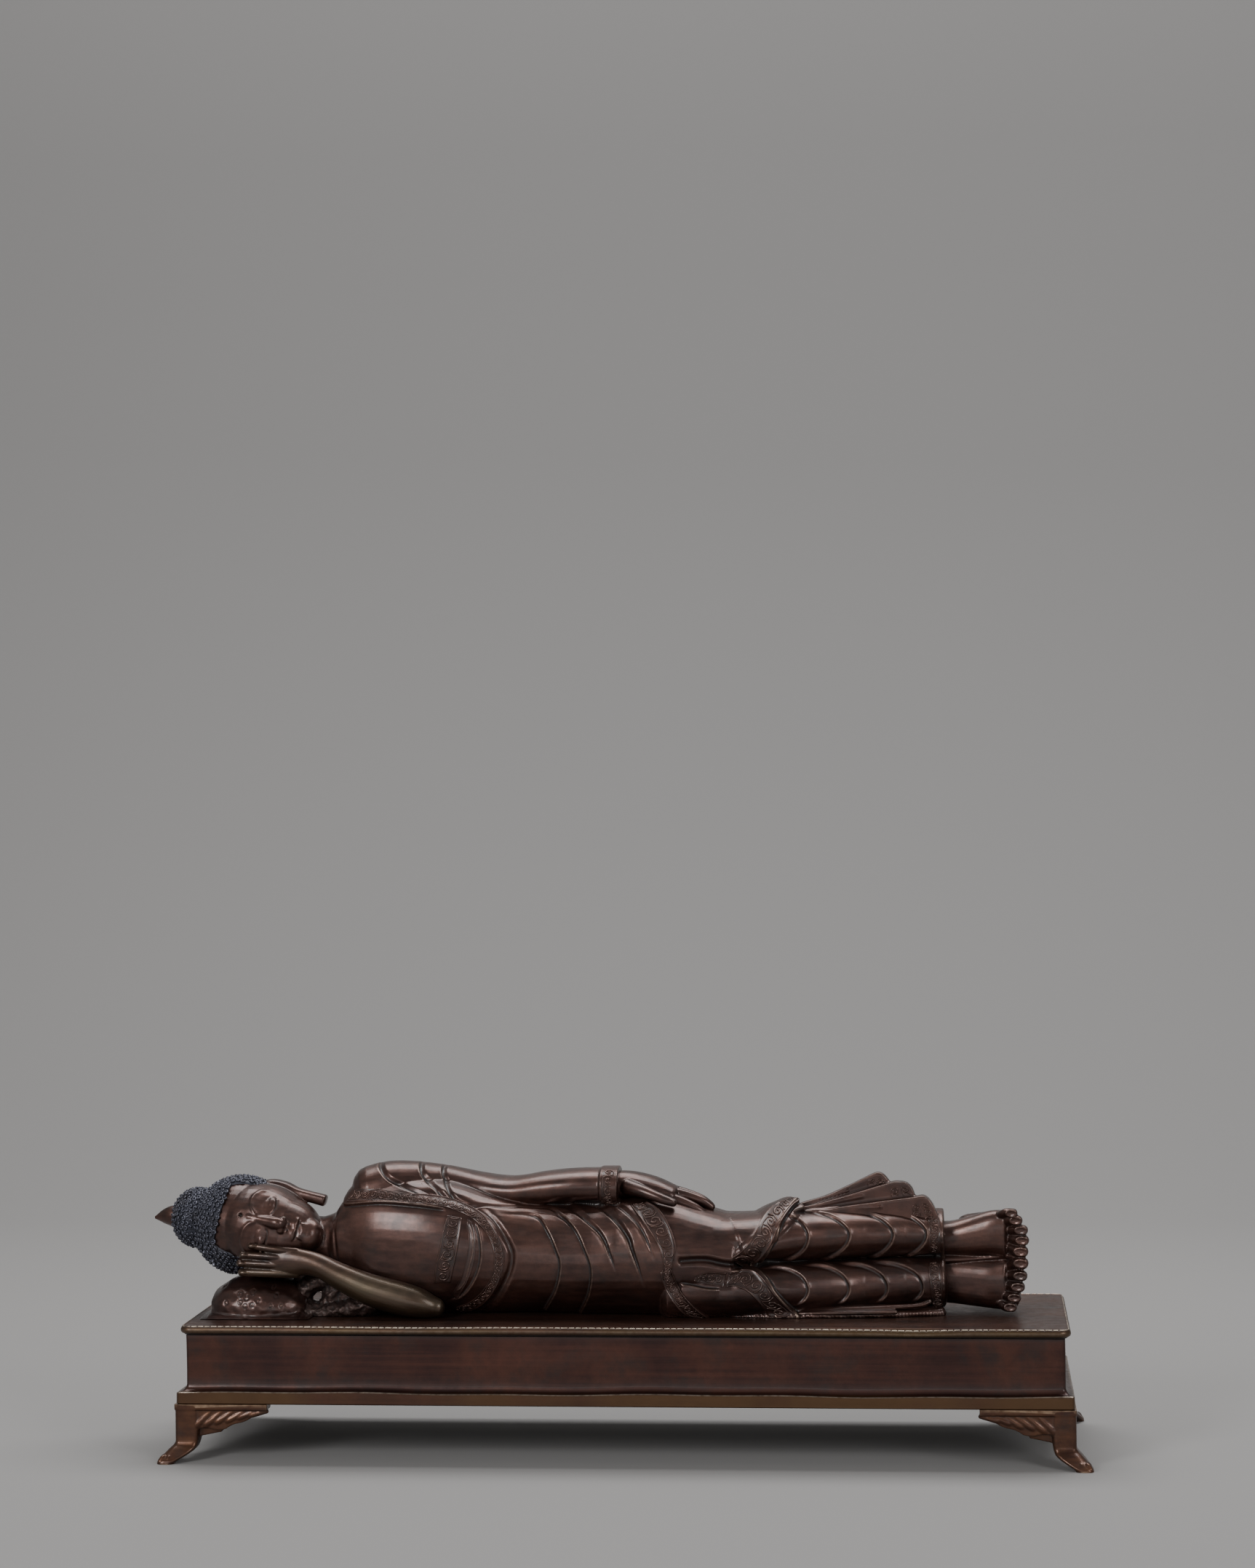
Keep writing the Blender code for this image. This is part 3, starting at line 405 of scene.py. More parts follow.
def catmull(points, steps):
    """Points of a smooth curve through the given rows of numbers."""
    rows = np.array(points, dtype=float)
    ends = np.vstack([2 * rows[0] - rows[1], rows, 2 * rows[-1] - rows[-2]])
    out = []
    for i in range(1, len(ends) - 2):
        a, b, c, d = ends[i - 1 : i + 3]
        for t in np.arange(steps) / steps:
            start = 2 * b + (c - a) * t + (2 * a - 5 * b + 4 * c - d) * t**2
            out.append(0.5 * (start + (3 * b - a - 3 * c + d) * t**3))
    out.append(rows[-1])
    return np.array(out)


def limb(bm, stations, sides=20, steps=4, power=2.0, caps=(0.8, 0.8), up=(0.0, 0.0, 1.0)):
    """A closed tube through stations of (x, y, z, half width, half height), with rounded ends."""
    rows = catmull(stations, steps) if steps > 1 else np.array(stations, dtype=float)
    centres = rows[:, :3]
    radii = np.maximum(rows[:, 3:5], 1e-6)
    tangents = np.gradient(centres, axis=0)
    tangents /= np.linalg.norm(tangents, axis=1)[:, None]
    cap_steps = 4 if sides > 8 else 2
    levels = []
    for k in range(cap_steps - 1, 0, -1):
        angle = math.pi / 2 * k / cap_steps
        reach = caps[0] * radii[0].min() * math.sin(angle)
        levels.append((centres[0] - tangents[0] * reach, radii[0] * math.cos(angle), tangents[0]))
    levels += list(zip(centres, radii, tangents))
    for k in range(1, cap_steps):
        angle = math.pi / 2 * k / cap_steps
        reach = caps[1] * radii[-1].min() * math.sin(angle)
        levels.append((centres[-1] + tangents[-1] * reach, radii[-1] * math.cos(angle), tangents[-1]))
    angles = 2 * math.pi * np.arange(sides) / sides
    wide = np.sign(np.cos(angles)) * np.abs(np.cos(angles)) ** (2 / power)
    tall = np.sign(np.sin(angles)) * np.abs(np.sin(angles)) ** (2 / power)
    rings = []
    for centre, radius, tangent in levels:
        side = np.cross(tangent, up)
        side /= max(np.linalg.norm(side), 1e-9)
        rise = np.cross(side, tangent)
        spots = centre + np.outer(wide * radius[0], side) + np.outer(tall * radius[1], rise)
        rings.append([bm.verts.new(spot) for spot in spots])
    for lower, upper in zip(rings, rings[1:]):
        for i in range(sides):
            j = (i + 1) % sides
            bm.faces.new((lower[i], lower[j], upper[j], upper[i]))
    first = bm.verts.new(centres[0] - tangents[0] * caps[0] * radii[0].min())
    last = bm.verts.new(centres[-1] + tangents[-1] * caps[1] * radii[-1].min())
    for i in range(sides):
        j = (i + 1) % sides
        bm.faces.new((first, rings[0][j], rings[0][i]))
        bm.faces.new((last, rings[-1][i], rings[-1][j]))


def slab(bm, points, low, high):
    """A flat outline of (x, z) points given a thickness along Y."""
    rings = []
    for y in (low, high):
        rings.append([bm.verts.new((x, y, z)) for x, z in points])
    for i in range(len(points)):
        j = (i + 1) % len(points)
        bm.faces.new((rings[0][i], rings[0][j], rings[1][j], rings[1][i]))
    bm.faces.new(list(reversed(rings[0])))
    bm.faces.new(rings[1])


def fused(bm, voxel, smoothing):
    """One closed skin round everything in bm, with the cast metal's soft inner corners."""
    skin = modified(mesh_of(bm), "REMESH", mode="VOXEL", voxel_size=voxel, adaptivity=0.0)
    return modified(skin, "SMOOTH", factor=0.5, iterations=smoothing)


def cut(mesh, point, normal, closed=True):
    """The part of the mesh behind a plane, with the cut face filled and its rim kept sharp."""
    bm = bmesh.new()
    bm.from_mesh(mesh)
    everything = bm.verts[:] + bm.edges[:] + bm.faces[:]
    made = bmesh.ops.bisect_plane(bm, geom=everything, plane_co=point, plane_no=normal, clear_outer=True)
    rim = [e for e in made["geom_cut"] if isinstance(e, bmesh.types.BMEdge)]
    if closed and rim:
        bmesh.ops.triangle_fill(bm, edges=rim, use_beauty=True)
        for edge in rim:
            edge.smooth = False
    result = bpy.data.meshes.new("piece")
    bm.to_mesh(result)
    bm.free()
    return result


def wing_depth(share):
    arch = WING_TIP + (WING_ROOT - WING_TIP) * min(share * 1.7, 1.0) ** 1.2
    return arch - 0.0006 * math.sin(5 * math.pi * share)


def make_leg(top):
    """Level slices of the corner leg: straight down, then sweeping outwards along the diagonal to the toe."""
    rings = []
    for z, out, inner in ((top, 0.07, 1.0), *LEG_SLICES):
        low, high = -out * TOE_REACH, inner * LEG_WIDTH
        half = (high - low) / 2
        corner = LEG_CORNER + 0.45 * (half - LEG_CORNER) * min(max((0.012 - z) / 0.008, 0.0), 1.0)
        ring = []
        for quarter, (sign_x, sign_y) in enumerate(((1, 1), (-1, 1), (-1, -1), (1, -1))):
            for angle in (quarter * 90 + np.linspace(0, 90, 7)) * math.pi / 180:
                x = sign_x * (half - corner) + corner * math.cos(angle)
                ring.append((x, sign_y * (half - corner) + corner * math.sin(angle), z))
        rings.append(np.array(ring) + ((low + high) / 2, (low + high) / 2, 0.0))
    return grid_mesh(np.array(rings), False)


def make_foot():
    """The foot of the front right corner in mm: x and y run inwards from the moulding's outer corner."""
    top = frame_low.z
    bm = bmesh.new()
    for along_y, length in ((False, FRONT_WING), (True, SIDE_WING)):
        shape = [(0.001, top), (length, top)]
        for step in range(25):
            share = step / 24
            x = length - share * (length - LEG_WIDTH)
            shape.append((x, top - FLANGE_THICKNESS * 0.5 - wing_depth(share)))
        shape.append((0.001, top - WING_ROOT))
        made = bmesh.new()
        slab(made, shape, WING_INSET, WING_INSET + WING_THICKNESS)
        bracket = [(0.004, top), (BRACKET_LENGTH, top)]
        bracket += [(BRACKET_LENGTH, top - BRACKET_DROP), (0.004, top - BRACKET_DROP - 0.0040)]
        slab(made, bracket, WING_THICKNESS, LEG_WIDTH)
        flange = [(-FLANGE_STEP, top - FLANGE_THICKNESS), (length + FLANGE_STEP, top - FLANGE_THICKNESS)]
        flange += [(length + FLANGE_STEP, top + FLANGE_THICKNESS), (-FLANGE_STEP, top + FLANGE_THICKNESS)]
        slab(made, flange, -FLANGE_STEP, FLANGE_WIDTH)
        for stroke in range(WING_STROKES):
            share = (stroke + 0.5) / WING_STROKES
            foot_x = length * (1 - 0.74 * share)
            drop = wing_depth(0.74 * share) + FLANGE_THICKNESS * 0.4
            wide = 0.0015 + 0.0012 * share
            sunk = WING_INSET + wide - 0.0007
            high = (foot_x + 0.0035, sunk, top - FLANGE_THICKNESS - 0.0006, wide * 0.8, wide * 0.8)
            middle = (foot_x - 0.0014, sunk, top - FLANGE_THICKNESS - drop * 0.40, wide, wide)
            low = (foot_x - 0.0056, sunk, top - FLANGE_THICKNESS - drop * 0.66, wide, wide)
            end = (
                foot_x - 0.0078, sunk + 0.0006, top - FLANGE_THICKNESS - drop * 0.70, wide * 0.7, wide * 0.7
            )
            limb(made, (high, middle, low, end), sides=12, steps=4)
        if along_y:
            for vert in made.verts:
                vert.co = (vert.co.y, vert.co.x, vert.co.z)
            bmesh.ops.reverse_faces(made, faces=made.faces)
        bm.from_mesh(mesh_of(made))
    bm.from_mesh(make_leg(top))
    for angle, reach in TOE_SPREAD:
        direction = np.array((math.cos(math.radians(angle)), math.sin(math.radians(angle))))
        tip = direction * TOE_REACH * math.sqrt(2) * 0.86 * reach
        knuckle = (*(tip * 0.8), 0.0031, 0.0015, 0.0014)
        limb(bm, ((*(tip * 0.55), 0.0036, 0.0012, 0.0012), knuckle, (*tip, 0.0012, 0.0013, 0.0011)), sides=12)
    for vert in bm.verts:
        vert.co *= 1000
    skin = cut(fused(bm, 0.42, 2), (0, 0, 0.02), (0, 0, -1))
    skin = cut(skin, (0, 0, top * 1000), (0, 0, 1))
    measure_relief(skin, 12, 1.4)
    return skin


foot_bronze = bronze(
    "foot_bronze", (0.050, 0.018, 0.013), (0.118, 0.050, 0.022), (0.34, 0.23, 0.15), 0.36, 0.45,
    (60, 240, 260)
)
foot = thinned(make_foot(), 20000)
for side_name, sign_x in (("left", -1), ("right", 1)):
    for row_name, sign_y in (("front", -1), ("back", 1)):
        mesh = foot.copy()
        places = read(mesh) / 1000
        corner = np.array(((frame_high.x - frame_low.x) / 2, frame_high.y, 0.0))
        places = (corner - places) * (sign_x, sign_y, -1) + (BED_X, 0.0, 0.0)
        write(mesh, places)
        if sign_x * sign_y < 0:
            mesh.flip_normals()
        node = f"foot_{row_name}_{side_name}"
        show(f"bed_{node}", mesh, foot_bronze, node, 60)


# Robed body
# Trunk, hips and both legs in one casting, lying on the right side, with the left arm along the top in its
# sleeve. The robe clings: each panel of cloth laps the next along a thin chased lip.
JOIN_X = -158.5
HIPS_X = -30
KNEES_X = 72
TRUNK = (
    (-172, 0, 36, 14.5, 14.4), (-163, 0, 35.5, 16.2, 18.6), (-155.5, -1, 35.5, 18.8, 27),
    (-148, -1, 36, 22.0, 34.5), (-138, -1, 36, 25.8, 37.5), (-120, -1, 35.5, 29.4, 38.5),
    (-100, -1, 34.5, 31.5, 37), (-78, -1, 31.5, 31, 33), (-52, 0, 29.5, 29.5, 30.5), (-28, 0, 29, 30, 30.5),
    (-4, 0, 30, 32, 32.5), (16, 0, 30.5, 33, 33.5), (36, 1, 28.5, 32.5, 29.5), (56, 2, 26, 31.5, 26),
)
figure_bronze = bronze(
    "figure_bronze", (0.040, 0.018, 0.015), (0.094, 0.043, 0.032), (0.30, 0.22, 0.17), 0.34, 0.55,
    (60, 240, 260)
)


def in_place(mesh):
    """From the figure's millimetres to metres on the deck."""
    write(mesh, read(mesh) * 0.001 + (BED_X, 0.0, deck_high.z))
    return mesh


def show_figure(name, mesh, mat=figure_bronze):
    """Shows a piece of the figure in its place on the deck."""
    show(name, in_place(mesh), mat, "reclining_figure")


def above_deck(mesh):
    return cut(mesh, (0, 0, 0), (0, 0, -1))


def tree_of(mesh):
    return BVHTree.FromPolygons([tuple(p) for p in read(mesh)], [tuple(f.vertices) for f in mesh.polygons])


def smoothstep(low, high, value):
    t = np.clip((value - low) / (high - low), 0.0, 1.0)
    return t * t * (3 - 2 * t)


def signed_distance(points, curve):
    """Distance of each (x, z) point from the curve, positive on its left, and the share along it."""
    best = np.full(len(points), 1e9)
    sign = np.ones(len(points))
    along = np.zeros(len(points))
    for i in range(len(curve) - 1):
        span = curve[i + 1] - curve[i]
        offset = points - curve[i]
        t = np.clip(offset @ span / max(span @ span, 1e-12), 0.0, 1.0)
        away = offset - t[:, None] * span
        distance = np.hypot(away[:, 0], away[:, 1])
        near = distance < best
        best = np.where(near, distance, best)
        sign = np.where(near, np.where(span[0] * offset[:, 1] >= span[1] * offset[:, 0], 1.0, -1.0), sign)
        along = np.where(near, (i + t) / (len(curve) - 1), along)
    return best * sign, along


def lap(points, curve, height, spread, lip, ends=(0.12, 0.12)):
    """Cloth on the curve's left lies over that on its right and ends in a thin lip over a fine groove."""
    distance, along = signed_distance(points, curve)
    fade = smoothstep(0.0, max(ends[0], 0.001), along) * smoothstep(0.0, max(ends[1], 0.001), 1.0 - along)
    over = np.exp(-np.maximum(distance, 0.0) / spread)
    under = -0.30 * np.exp(np.minimum(distance, 0.0) / 3.0)
    blend = smoothstep(-0.5, 0.5, distance)
    edge = 0.3 * lip * np.exp(-(((distance - 0.8) / 0.7) ** 2))
    edge = edge - 0.24 * np.exp(-(((distance + 0.55) / 0.5) ** 2))
    return (height * (over * blend + under * (1 - blend)) + edge) * fade


def valley(points, curve, depth, width, ends=(0.1, 0.3)):
    """A hollow pleat on the curve's left: steep along it, rising softly away from it, closing at its end."""
    distance, along = signed_distance(points, curve)
    fade = smoothstep(0.0, ends[0], along) * smoothstep(0.0, ends[1], 1.0 - along)
    reach = width * (0.25 + 0.75 * smoothstep(0.0, 0.8, 1.0 - along))
    floor = smoothstep(-0.5, 0.35, distance) * (1.0 - smoothstep(0.2, 1.0, distance / reach))
    lip = 0.12 * np.exp(-(((distance + 1.0) / 0.8) ** 2))
    return (lip - depth * floor) * fade


def groove(points, curve, depth, width, ends=(0.12, 0.12)):
    distance, along = signed_distance(points, curve)
    fade = smoothstep(0.0, ends[0], along) * smoothstep(0.0, ends[1], 1.0 - along)
    lip = 0.12 * depth * np.exp(-(((distance - width) / (0.7 * width)) ** 2))
    return (lip - depth * np.exp(-((distance / (width * 0.6)) ** 2))) * fade


def folds():
    """The chased folds of the front as (function, curve, sizes)."""
    lines = []

    def chase(kind, points, *sizes):
        lines.append((kind, catmull(points, 6), sizes))

    swags = (
        ((-72, 56), (-50, 54), (-42, 46), (-37, 36), (-35, 28), (-38, 15), (-46, 2)),
        ((-54, 56), (-37, 54), (-27, 47), (-21, 36), (-18, 26), (-20, 13), (-27, 0)),
    )
    for points in swags:
        chase(lap, points, 1.25, 11.0, 0.35, (0.25, 0.02))
    pleats = (
        (((-48, 59), (-31, 56), (-20, 50), (-12, 43), (-7, 32), (-4, 23)), 1.5, 3.4),
        (((-33, 59), (-16, 58), (-6, 52), (1, 44), (4, 37), (8, 26), (11, 14)), 1.8, 4.0),
        (((-18, 60), (-5, 58.5), (4, 53), (10, 46), (14, 38), (17, 30)), 0.9, 3.0),
        (((-62, 58.5), (-44, 56.5), (-33, 51.5), (-27, 46)), 0.7, 2.2),
        (((-86, 60), (-70, 58.5), (-54, 57.5), (-40, 57)), 0.8, 2.0),
    )
    for points, depth, width in pleats:
        chase(valley, points, depth, width)
    chase(
        lap, ((87, 54.5), (92, 52), (96.5, 48.5), (99, 43), (96, 36), (87, 30.5), (71, 27.5)), 1.1, 10.0,
        0.5, (0.12, 0.15)
    )
    for number, end in ((1, 121), (2, 144.5), (3, 162.5)):
        upper_leg = ((88, 54), (end - 22, 54.6 + 0.3 * number), (end - 9, 52), (end - 1.5, 47))
        upper_leg += ((end, 42), (end - 4, 36), (end - 13, 31), (end - 27, 28))
        chase(lap, upper_leg, 1.1, 10.0, 0.5, (0.12, 0.15))
    for end in (98.5, 120.5, 141, 160):
        lower_leg = (
            (end - 30, 27), (end - 14, 25.5), (end - 4, 22), (end, 16.5), (end - 1, 11), (end - 7, 5.5)
        )
        chase(lap, lower_leg, 1.1, 10.0, 0.35, (0.15, 0.15))
    for rise in (55.5, 58, 61):
        chase(groove, ((89, 54.5), (112, 54.5 + (rise - 54.5) * 0.6), (160, rise)), 0.7, 1.1)
    shoulder = (
        ((-141, 84), (-132, 73), (-121, 68), (-110, 65), (-98, 62), (-84, 60)),
        ((-117, 85), (-113, 74), (-105, 68), (-94, 62), (-80, 59)),
        ((-104, 84), (-102, 73), (-94, 64), (-82, 60)),
    )
    for points in shoulder:
        chase(valley, points, 1.5, 3.2, (0.01, 0.35))
    chase(lap, ((-157, 58.5), (-135, 61), (-114, 60), (-97, 58)), 1.4, 9.0, 0.3, (0.02, 0.1))
    chest_edge = (
        (-119, 67), (-102, 65.5), (-85, 60.5), (-74, 54.5), (-66.5, 46), (-61.5, 36), (-62, 27), (-66, 17.5),
        (-71.5, 9), (-80, 2), (-92, -1),
    )
    chase(groove, chest_edge, 1.6, 2.6)
    chase(lap, ((-86, 53), (-83, 45), (-83, 36), (-85, 28), (-88, 19), (-94, 13)), 0.8, 4.0, 0.35)
    chase(lap, ((-82, 53), (-79, 45), (-78, 36), (-79, 28), (-83, 19), (-89, 12), (-97, 8)), 0.8, 4.0, 0.35)
    knee = ((66, 26.5), (72, 29), (78, 35.5), (82.5, 43.5), (85.5, 51.5), (90, 57), (97, 61.5))
    chase(lap, knee, 2.3, 14.0, 0.3, (0.05, 0.02))
    shin = ((95, 0), (89, 6), (82, 14), (78, 20), (71.5, 25.5), (64, 26.5), (56, 25.5))
    chase(lap, shin, 2.0, 12.0, 0.3, (0.02, 0.1))
    between_legs = ((29, 31), (44, 31.5), (60, 28.8), (100, 28.2), (140, 29.5), (171, 31))
    chase(groove, between_legs, 2.3, 2.6, (0.03, 0.01))
    chase(lap, ((52, 16), (44, 16.5), (36, 18), (30, 19)), 1.2, 6.0, 0.3)
    return lines


def add_body(bm):
    limb(bm, TRUNK, sides=48, steps=6, power=2.25, caps=(0.1, 0.3))
    upper = (
        (24, 2, 38, 30, 22), (48, 2, 38.5, 29, 15.5), (70, 2, 39.5, 27, 14), (96, 4, 41.5, 24.5, 14),
        (122, 6, 42.5, 22.5, 14), (148, 7, 42.5, 20.5, 13.5), (170, 8, 41.5, 19.5, 12.5),
    )
    limb(bm, upper, sides=48, steps=6, power=2.2, caps=(0.4, 0.15))
    lower = (
        (24, 0, 12, 31, 20), (52, -1, 12.5, 30.5, 17.5), (76, -1, 13, 28, 16.5), (100, 1, 13.5, 25.5, 16),
        (124, 4, 14.5, 23, 15.5), (148, 6, 15.5, 21, 15), (171, 8, 16, 19.5, 14.5),
    )
    limb(bm, lower, sides=48, steps=6, power=2.2, caps=(0.4, 0.15))
    sleeve = (
        (-143, 0, 64, 17, 15), (-132, 1, 66, 17, 15.5), (-116, 3, 66, 15.5, 15), (-100, 6, 66.5, 13.5, 12),
        (-84, 6, 66.5, 14, 8.6), (-72, 5, 65.5, 15, 7.8), (-60, 3, 65, 15.5, 8.4), (-44, 0, 67, 16, 9.3),
        (-28, -2, 68.6, 16, 9.4), (-12, -3, 68.6, 15.5, 9.8), (-7, -3, 68.4, 15.5, 9.8),
    )
    limb(bm, sleeve, sides=36, steps=6, power=2.2, caps=(0.7, 0.12))
    limb(bm, ((58, -6, 34, 22, 8), (70, -4, 42, 23, 9), (80, 0, 49, 22, 8), (89, 4, 55, 15, 6)), sides=30)
    limb(bm, ((167, 7, 41.5, 20.5, 13.2), (171.5, 7, 41.5, 21, 13.2)), sides=30, caps=(0.05, 0.05))
    limb(bm, ((167, 7, 16.5, 21.0, 15.0), (172, 7, 16.5, 21.5, 15.0)), sides=30, caps=(0.05, 0.05))
    limb(
        bm, ((30, -8, -2, 14, 4), (100, -17, 0.6, 9, 3.4), (140, -15, 1, 8, 3.0), (170, -10, 1, 6, 3.0)),
        sides=20
    )
    limb(
        bm, ((-14.6, -3, 68.6, 16.8, 10.6), (-4.8, -3, 68.4, 17.0, 10.8)), sides=36, power=2.3,
        caps=(0.04, 0.04)
    )


def dress(mesh):
    """Presses the folds into the skin along its normals, those of the front as seen from the front."""
    places, normals = read(mesh), read(mesh, "normal")
    flat = places[:, (0, 2)]
    front = smoothstep(-0.25, 0.30, -normals[:, 1])
    rise = np.zeros(len(places))
    for kind, curve, sizes in folds():
        spread = 30.0 if kind is lap else 8.0
        low, high = curve.min(0) - spread, curve.max(0) + spread
        near = ((flat > low) & (flat < high)).all(1) & (front > 0)
        rise[near] += kind(flat[near], curve, *sizes)
    x, z = flat[:, 0], flat[:, 1]
    arm = smoothstep(-92, -78, x) * smoothstep(59, 62.5, z) * smoothstep(8, 2, x)
    rise *= front * (1.0 - arm)
    body = smoothstep(-140, -110, x) * smoothstep(-172, -158, -x) * smoothstep(0.2, 0.6, normals[:, 1])
    wave = np.sin((z + 0.10 * x + 2.5 * np.sin(x * 0.018)) * 2 * math.pi / 19.0)
    rise += 0.7 * wave * np.abs(wave) * body
    rough = np.sin(x * 1.9 + z) * np.sin(places[:, 1] * 2.3 + x) * smoothstep(3.5, 0.5, z) * 0.35
    rise += rough
    write(mesh, places + normals * rise[:, None])


bm = bmesh.new()
add_body(bm)
body = fused(bm, 0.55, 6)
dress(body)
body = modified(body, "SMOOTH", factor=0.3, iterations=1)
measure_relief(body, 14, 1.0)
body = thinned(body, 300000)
body_tree = tree_of(body)
standing = cut(above_deck(body), (JOIN_X, 0, 0), (-1, 0, 0))
show_figure("robed_trunk", cut(standing, (HIPS_X, 0, 0), (1, 0, 0)))
legs = cut(standing, (HIPS_X, 0, 0), (-1, 0, 0))
show_figure("robed_hips", cut(legs, (KNEES_X, 0, 0), (1, 0, 0)))
show_figure("robed_legs", cut(legs, (KNEES_X, 0, 0), (-1, 0, 0)))


# Skirt's upper hem
# Behind the legs the skirt stands up in a fan of three flat pleats, each in front of the one above it.
# They spring from the hem over the knee, were cast with the legs and end in a scrolled border.
PLEATS = (
    (
        8.5, 2.5,
        (
            (86, 50), (92, 57), (107, 61.8), (121, 68), (133.5, 74.0), (137, 74.8), (140, 73.4),
            (143, 69.6), (146, 64), (130, 54)
        )
    ),
    (
        4.5, -3.0,
        (
            (88, 50), (100, 57), (120, 63), (142.7, 69.8), (148, 70.5), (152.4, 69.6), (155.4, 66.4),
            (157, 61), (158, 55), (130, 50)
        )
    ),
    (
        0.5, -8.5,
        (
            (90, 48), (110, 56), (135, 59.9), (156, 62.7), (161.3, 63.3), (165, 60.6), (168, 55), (170, 48),
            (170, 40), (130, 42)
        )
    ),
)
bm = bmesh.new()
for back, front, shape in PLEATS:
    slab(bm, catmull(shape + shape[:1], 5)[:-1], front, back)
for start, end in (
    ((92, -2, 55), (128, -2.8, 62.5)), ((92, -6, 54), (138, -8.4, 57.5)), ((93, 4, 56.5), (120, 2.6, 65))
):
    limb(bm, ((*start, 1.3, 1.3), (*end, 0.7, 0.7)), sides=12)
fan = fused(bm, 0.6, 4)
fan_tree = tree_of(fan)
measure_relief(fan, 12, 1.0)
show_figure("skirt_fan", thinned(fan, 22000))


# Scrolled borders
# Raised strips of the robe's hems: a rolled lip on each side of a sunk ground, with running scrolls that
# stand up from it. Lips and scrolls are a little rubbed and the ground kept its dark lacquer.
STRIP_SPACING = 0.6
STRIP_ACROSS = 9
SCROLL_TURNS = 1.35
BAND_PROFILE = (
    (0.0, -1.3, -0.1), (0.0, 0.35, 0.0), (0.025, 0.75, 0.14), (0.06, 0.85, 0.20), (0.10, 0.78, 0.06),
    (0.15, 0.48, -0.15), (0.3, 0.42, -0.10), (0.5, 0.44, -0.08), (0.7, 0.42, -0.10), (0.85, 0.48, -0.15),
    (0.90, 0.78, 0.06), (0.94, 0.85, 0.20), (0.975, 0.75, 0.14), (1.0, 0.35, 0.0), (1.0, -1.3, -0.1),
)


def resampled(points, count):
    curve = catmull(points, 10)
    run = np.concatenate([[0.0], np.cumsum(np.linalg.norm(np.diff(curve, axis=0), axis=1))])
    at = np.linspace(0.0, run[-1], count)
    return np.stack([np.interp(at, run, curve[:, k]) for k in range(2)], 1)


def strip_between(tree, edge_a, edge_b):
    """The skin between two edges seen from the front: places and outward directions, along by across."""
    rough_length = np.linalg.norm(np.diff(np.array(edge_a, dtype=float), axis=0), axis=1).sum()
    count = max(int(rough_length / STRIP_SPACING), 8)
    a, b = resampled(edge_a, count), resampled(edge_b, count)
    places = np.empty((count, STRIP_ACROSS, 3))
    for i in range(count):
        for j in range(STRIP_ACROSS):
            x, z = a[i] + (b[i] - a[i]) * j / (STRIP_ACROSS - 1)
            hit = tree.ray_cast(Vector((x, -200.0, z)), Vector((0.0, 1.0, 0.0)))[0]
            if hit is None or hit.y > 14:
                hit = tree.find_nearest(Vector((x, -6.0, z)))[0]
            places[i, j] = hit
    for _ in range(6):
        depth = np.pad(places, ((1, 1), (1, 1), (0, 0)), mode="edge")
        places = (depth[:-2, 1:-1] + depth[2:, 1:-1] + depth[1:-1, :-2] + depth[1:-1, 2:] + 2 * places) / 6
    outward = np.cross(np.gradient(places, axis=0), np.gradient(places, axis=1))
    outward /= np.linalg.norm(outward, axis=2)[:, :, None]
    outward *= np.where(outward[:, :, 1:2] > 0.15, -1.0, 1.0)
    if outward[:, :, 1].mean() > 0:
        outward = -outward
    return places, outward


def over(strip, along, across, height):
    """Points over a strip: along counts its stations, across runs from 0 to 1."""
    u = np.clip(along, 0, strip[0].shape[0] - 1.001)
    v = np.clip(np.asarray(across) * (strip[0].shape[1] - 1), 0, strip[0].shape[1] - 1.001)
    i, j = u.astype(int), v.astype(int)
    s, t = (u - i)[:, None], (v - j)[:, None]
    place, outward = [
        grid[i, j] * (1 - s) * (1 - t) + grid[i + 1, j] * s * (1 - t)
        + grid[i, j + 1] * (1 - s) * t + grid[i + 1, j + 1] * s * t
        for grid in strip
    ]
    outward /= np.linalg.norm(outward, axis=1)[:, None]
    return place + outward * np.broadcast_to(height, len(place))[:, None]


def raised_band(name, strip, height, lips=(1.0, 1.0)):
    """The strip as a solid band with its profile across, its lips scaled one by one."""
    count = strip[0].shape[0]
    along = np.arange(count, dtype=float)
    end = smoothstep(-1.0, 3.0, along) * smoothstep(-1.0, 3.0, count - 1 - along)
    columns, relief = [], []
    for across, rise, tone in BAND_PROFILE:
        lip = lips[0] if across < 0.5 else lips[1]
        level = rise if rise < 0.31 else 0.3 + (rise - 0.3) * lip
        stand = height * (level if rise < 0 else level * end)
        columns.append(over(strip, along, np.full(count, across), stand))
        relief.append(np.full(count, tone))
    mesh = grid_mesh(np.stack(columns, 1), False)
    set_relief(mesh, np.stack(relief, 1).reshape(-1))
    show_figure(name, mesh)


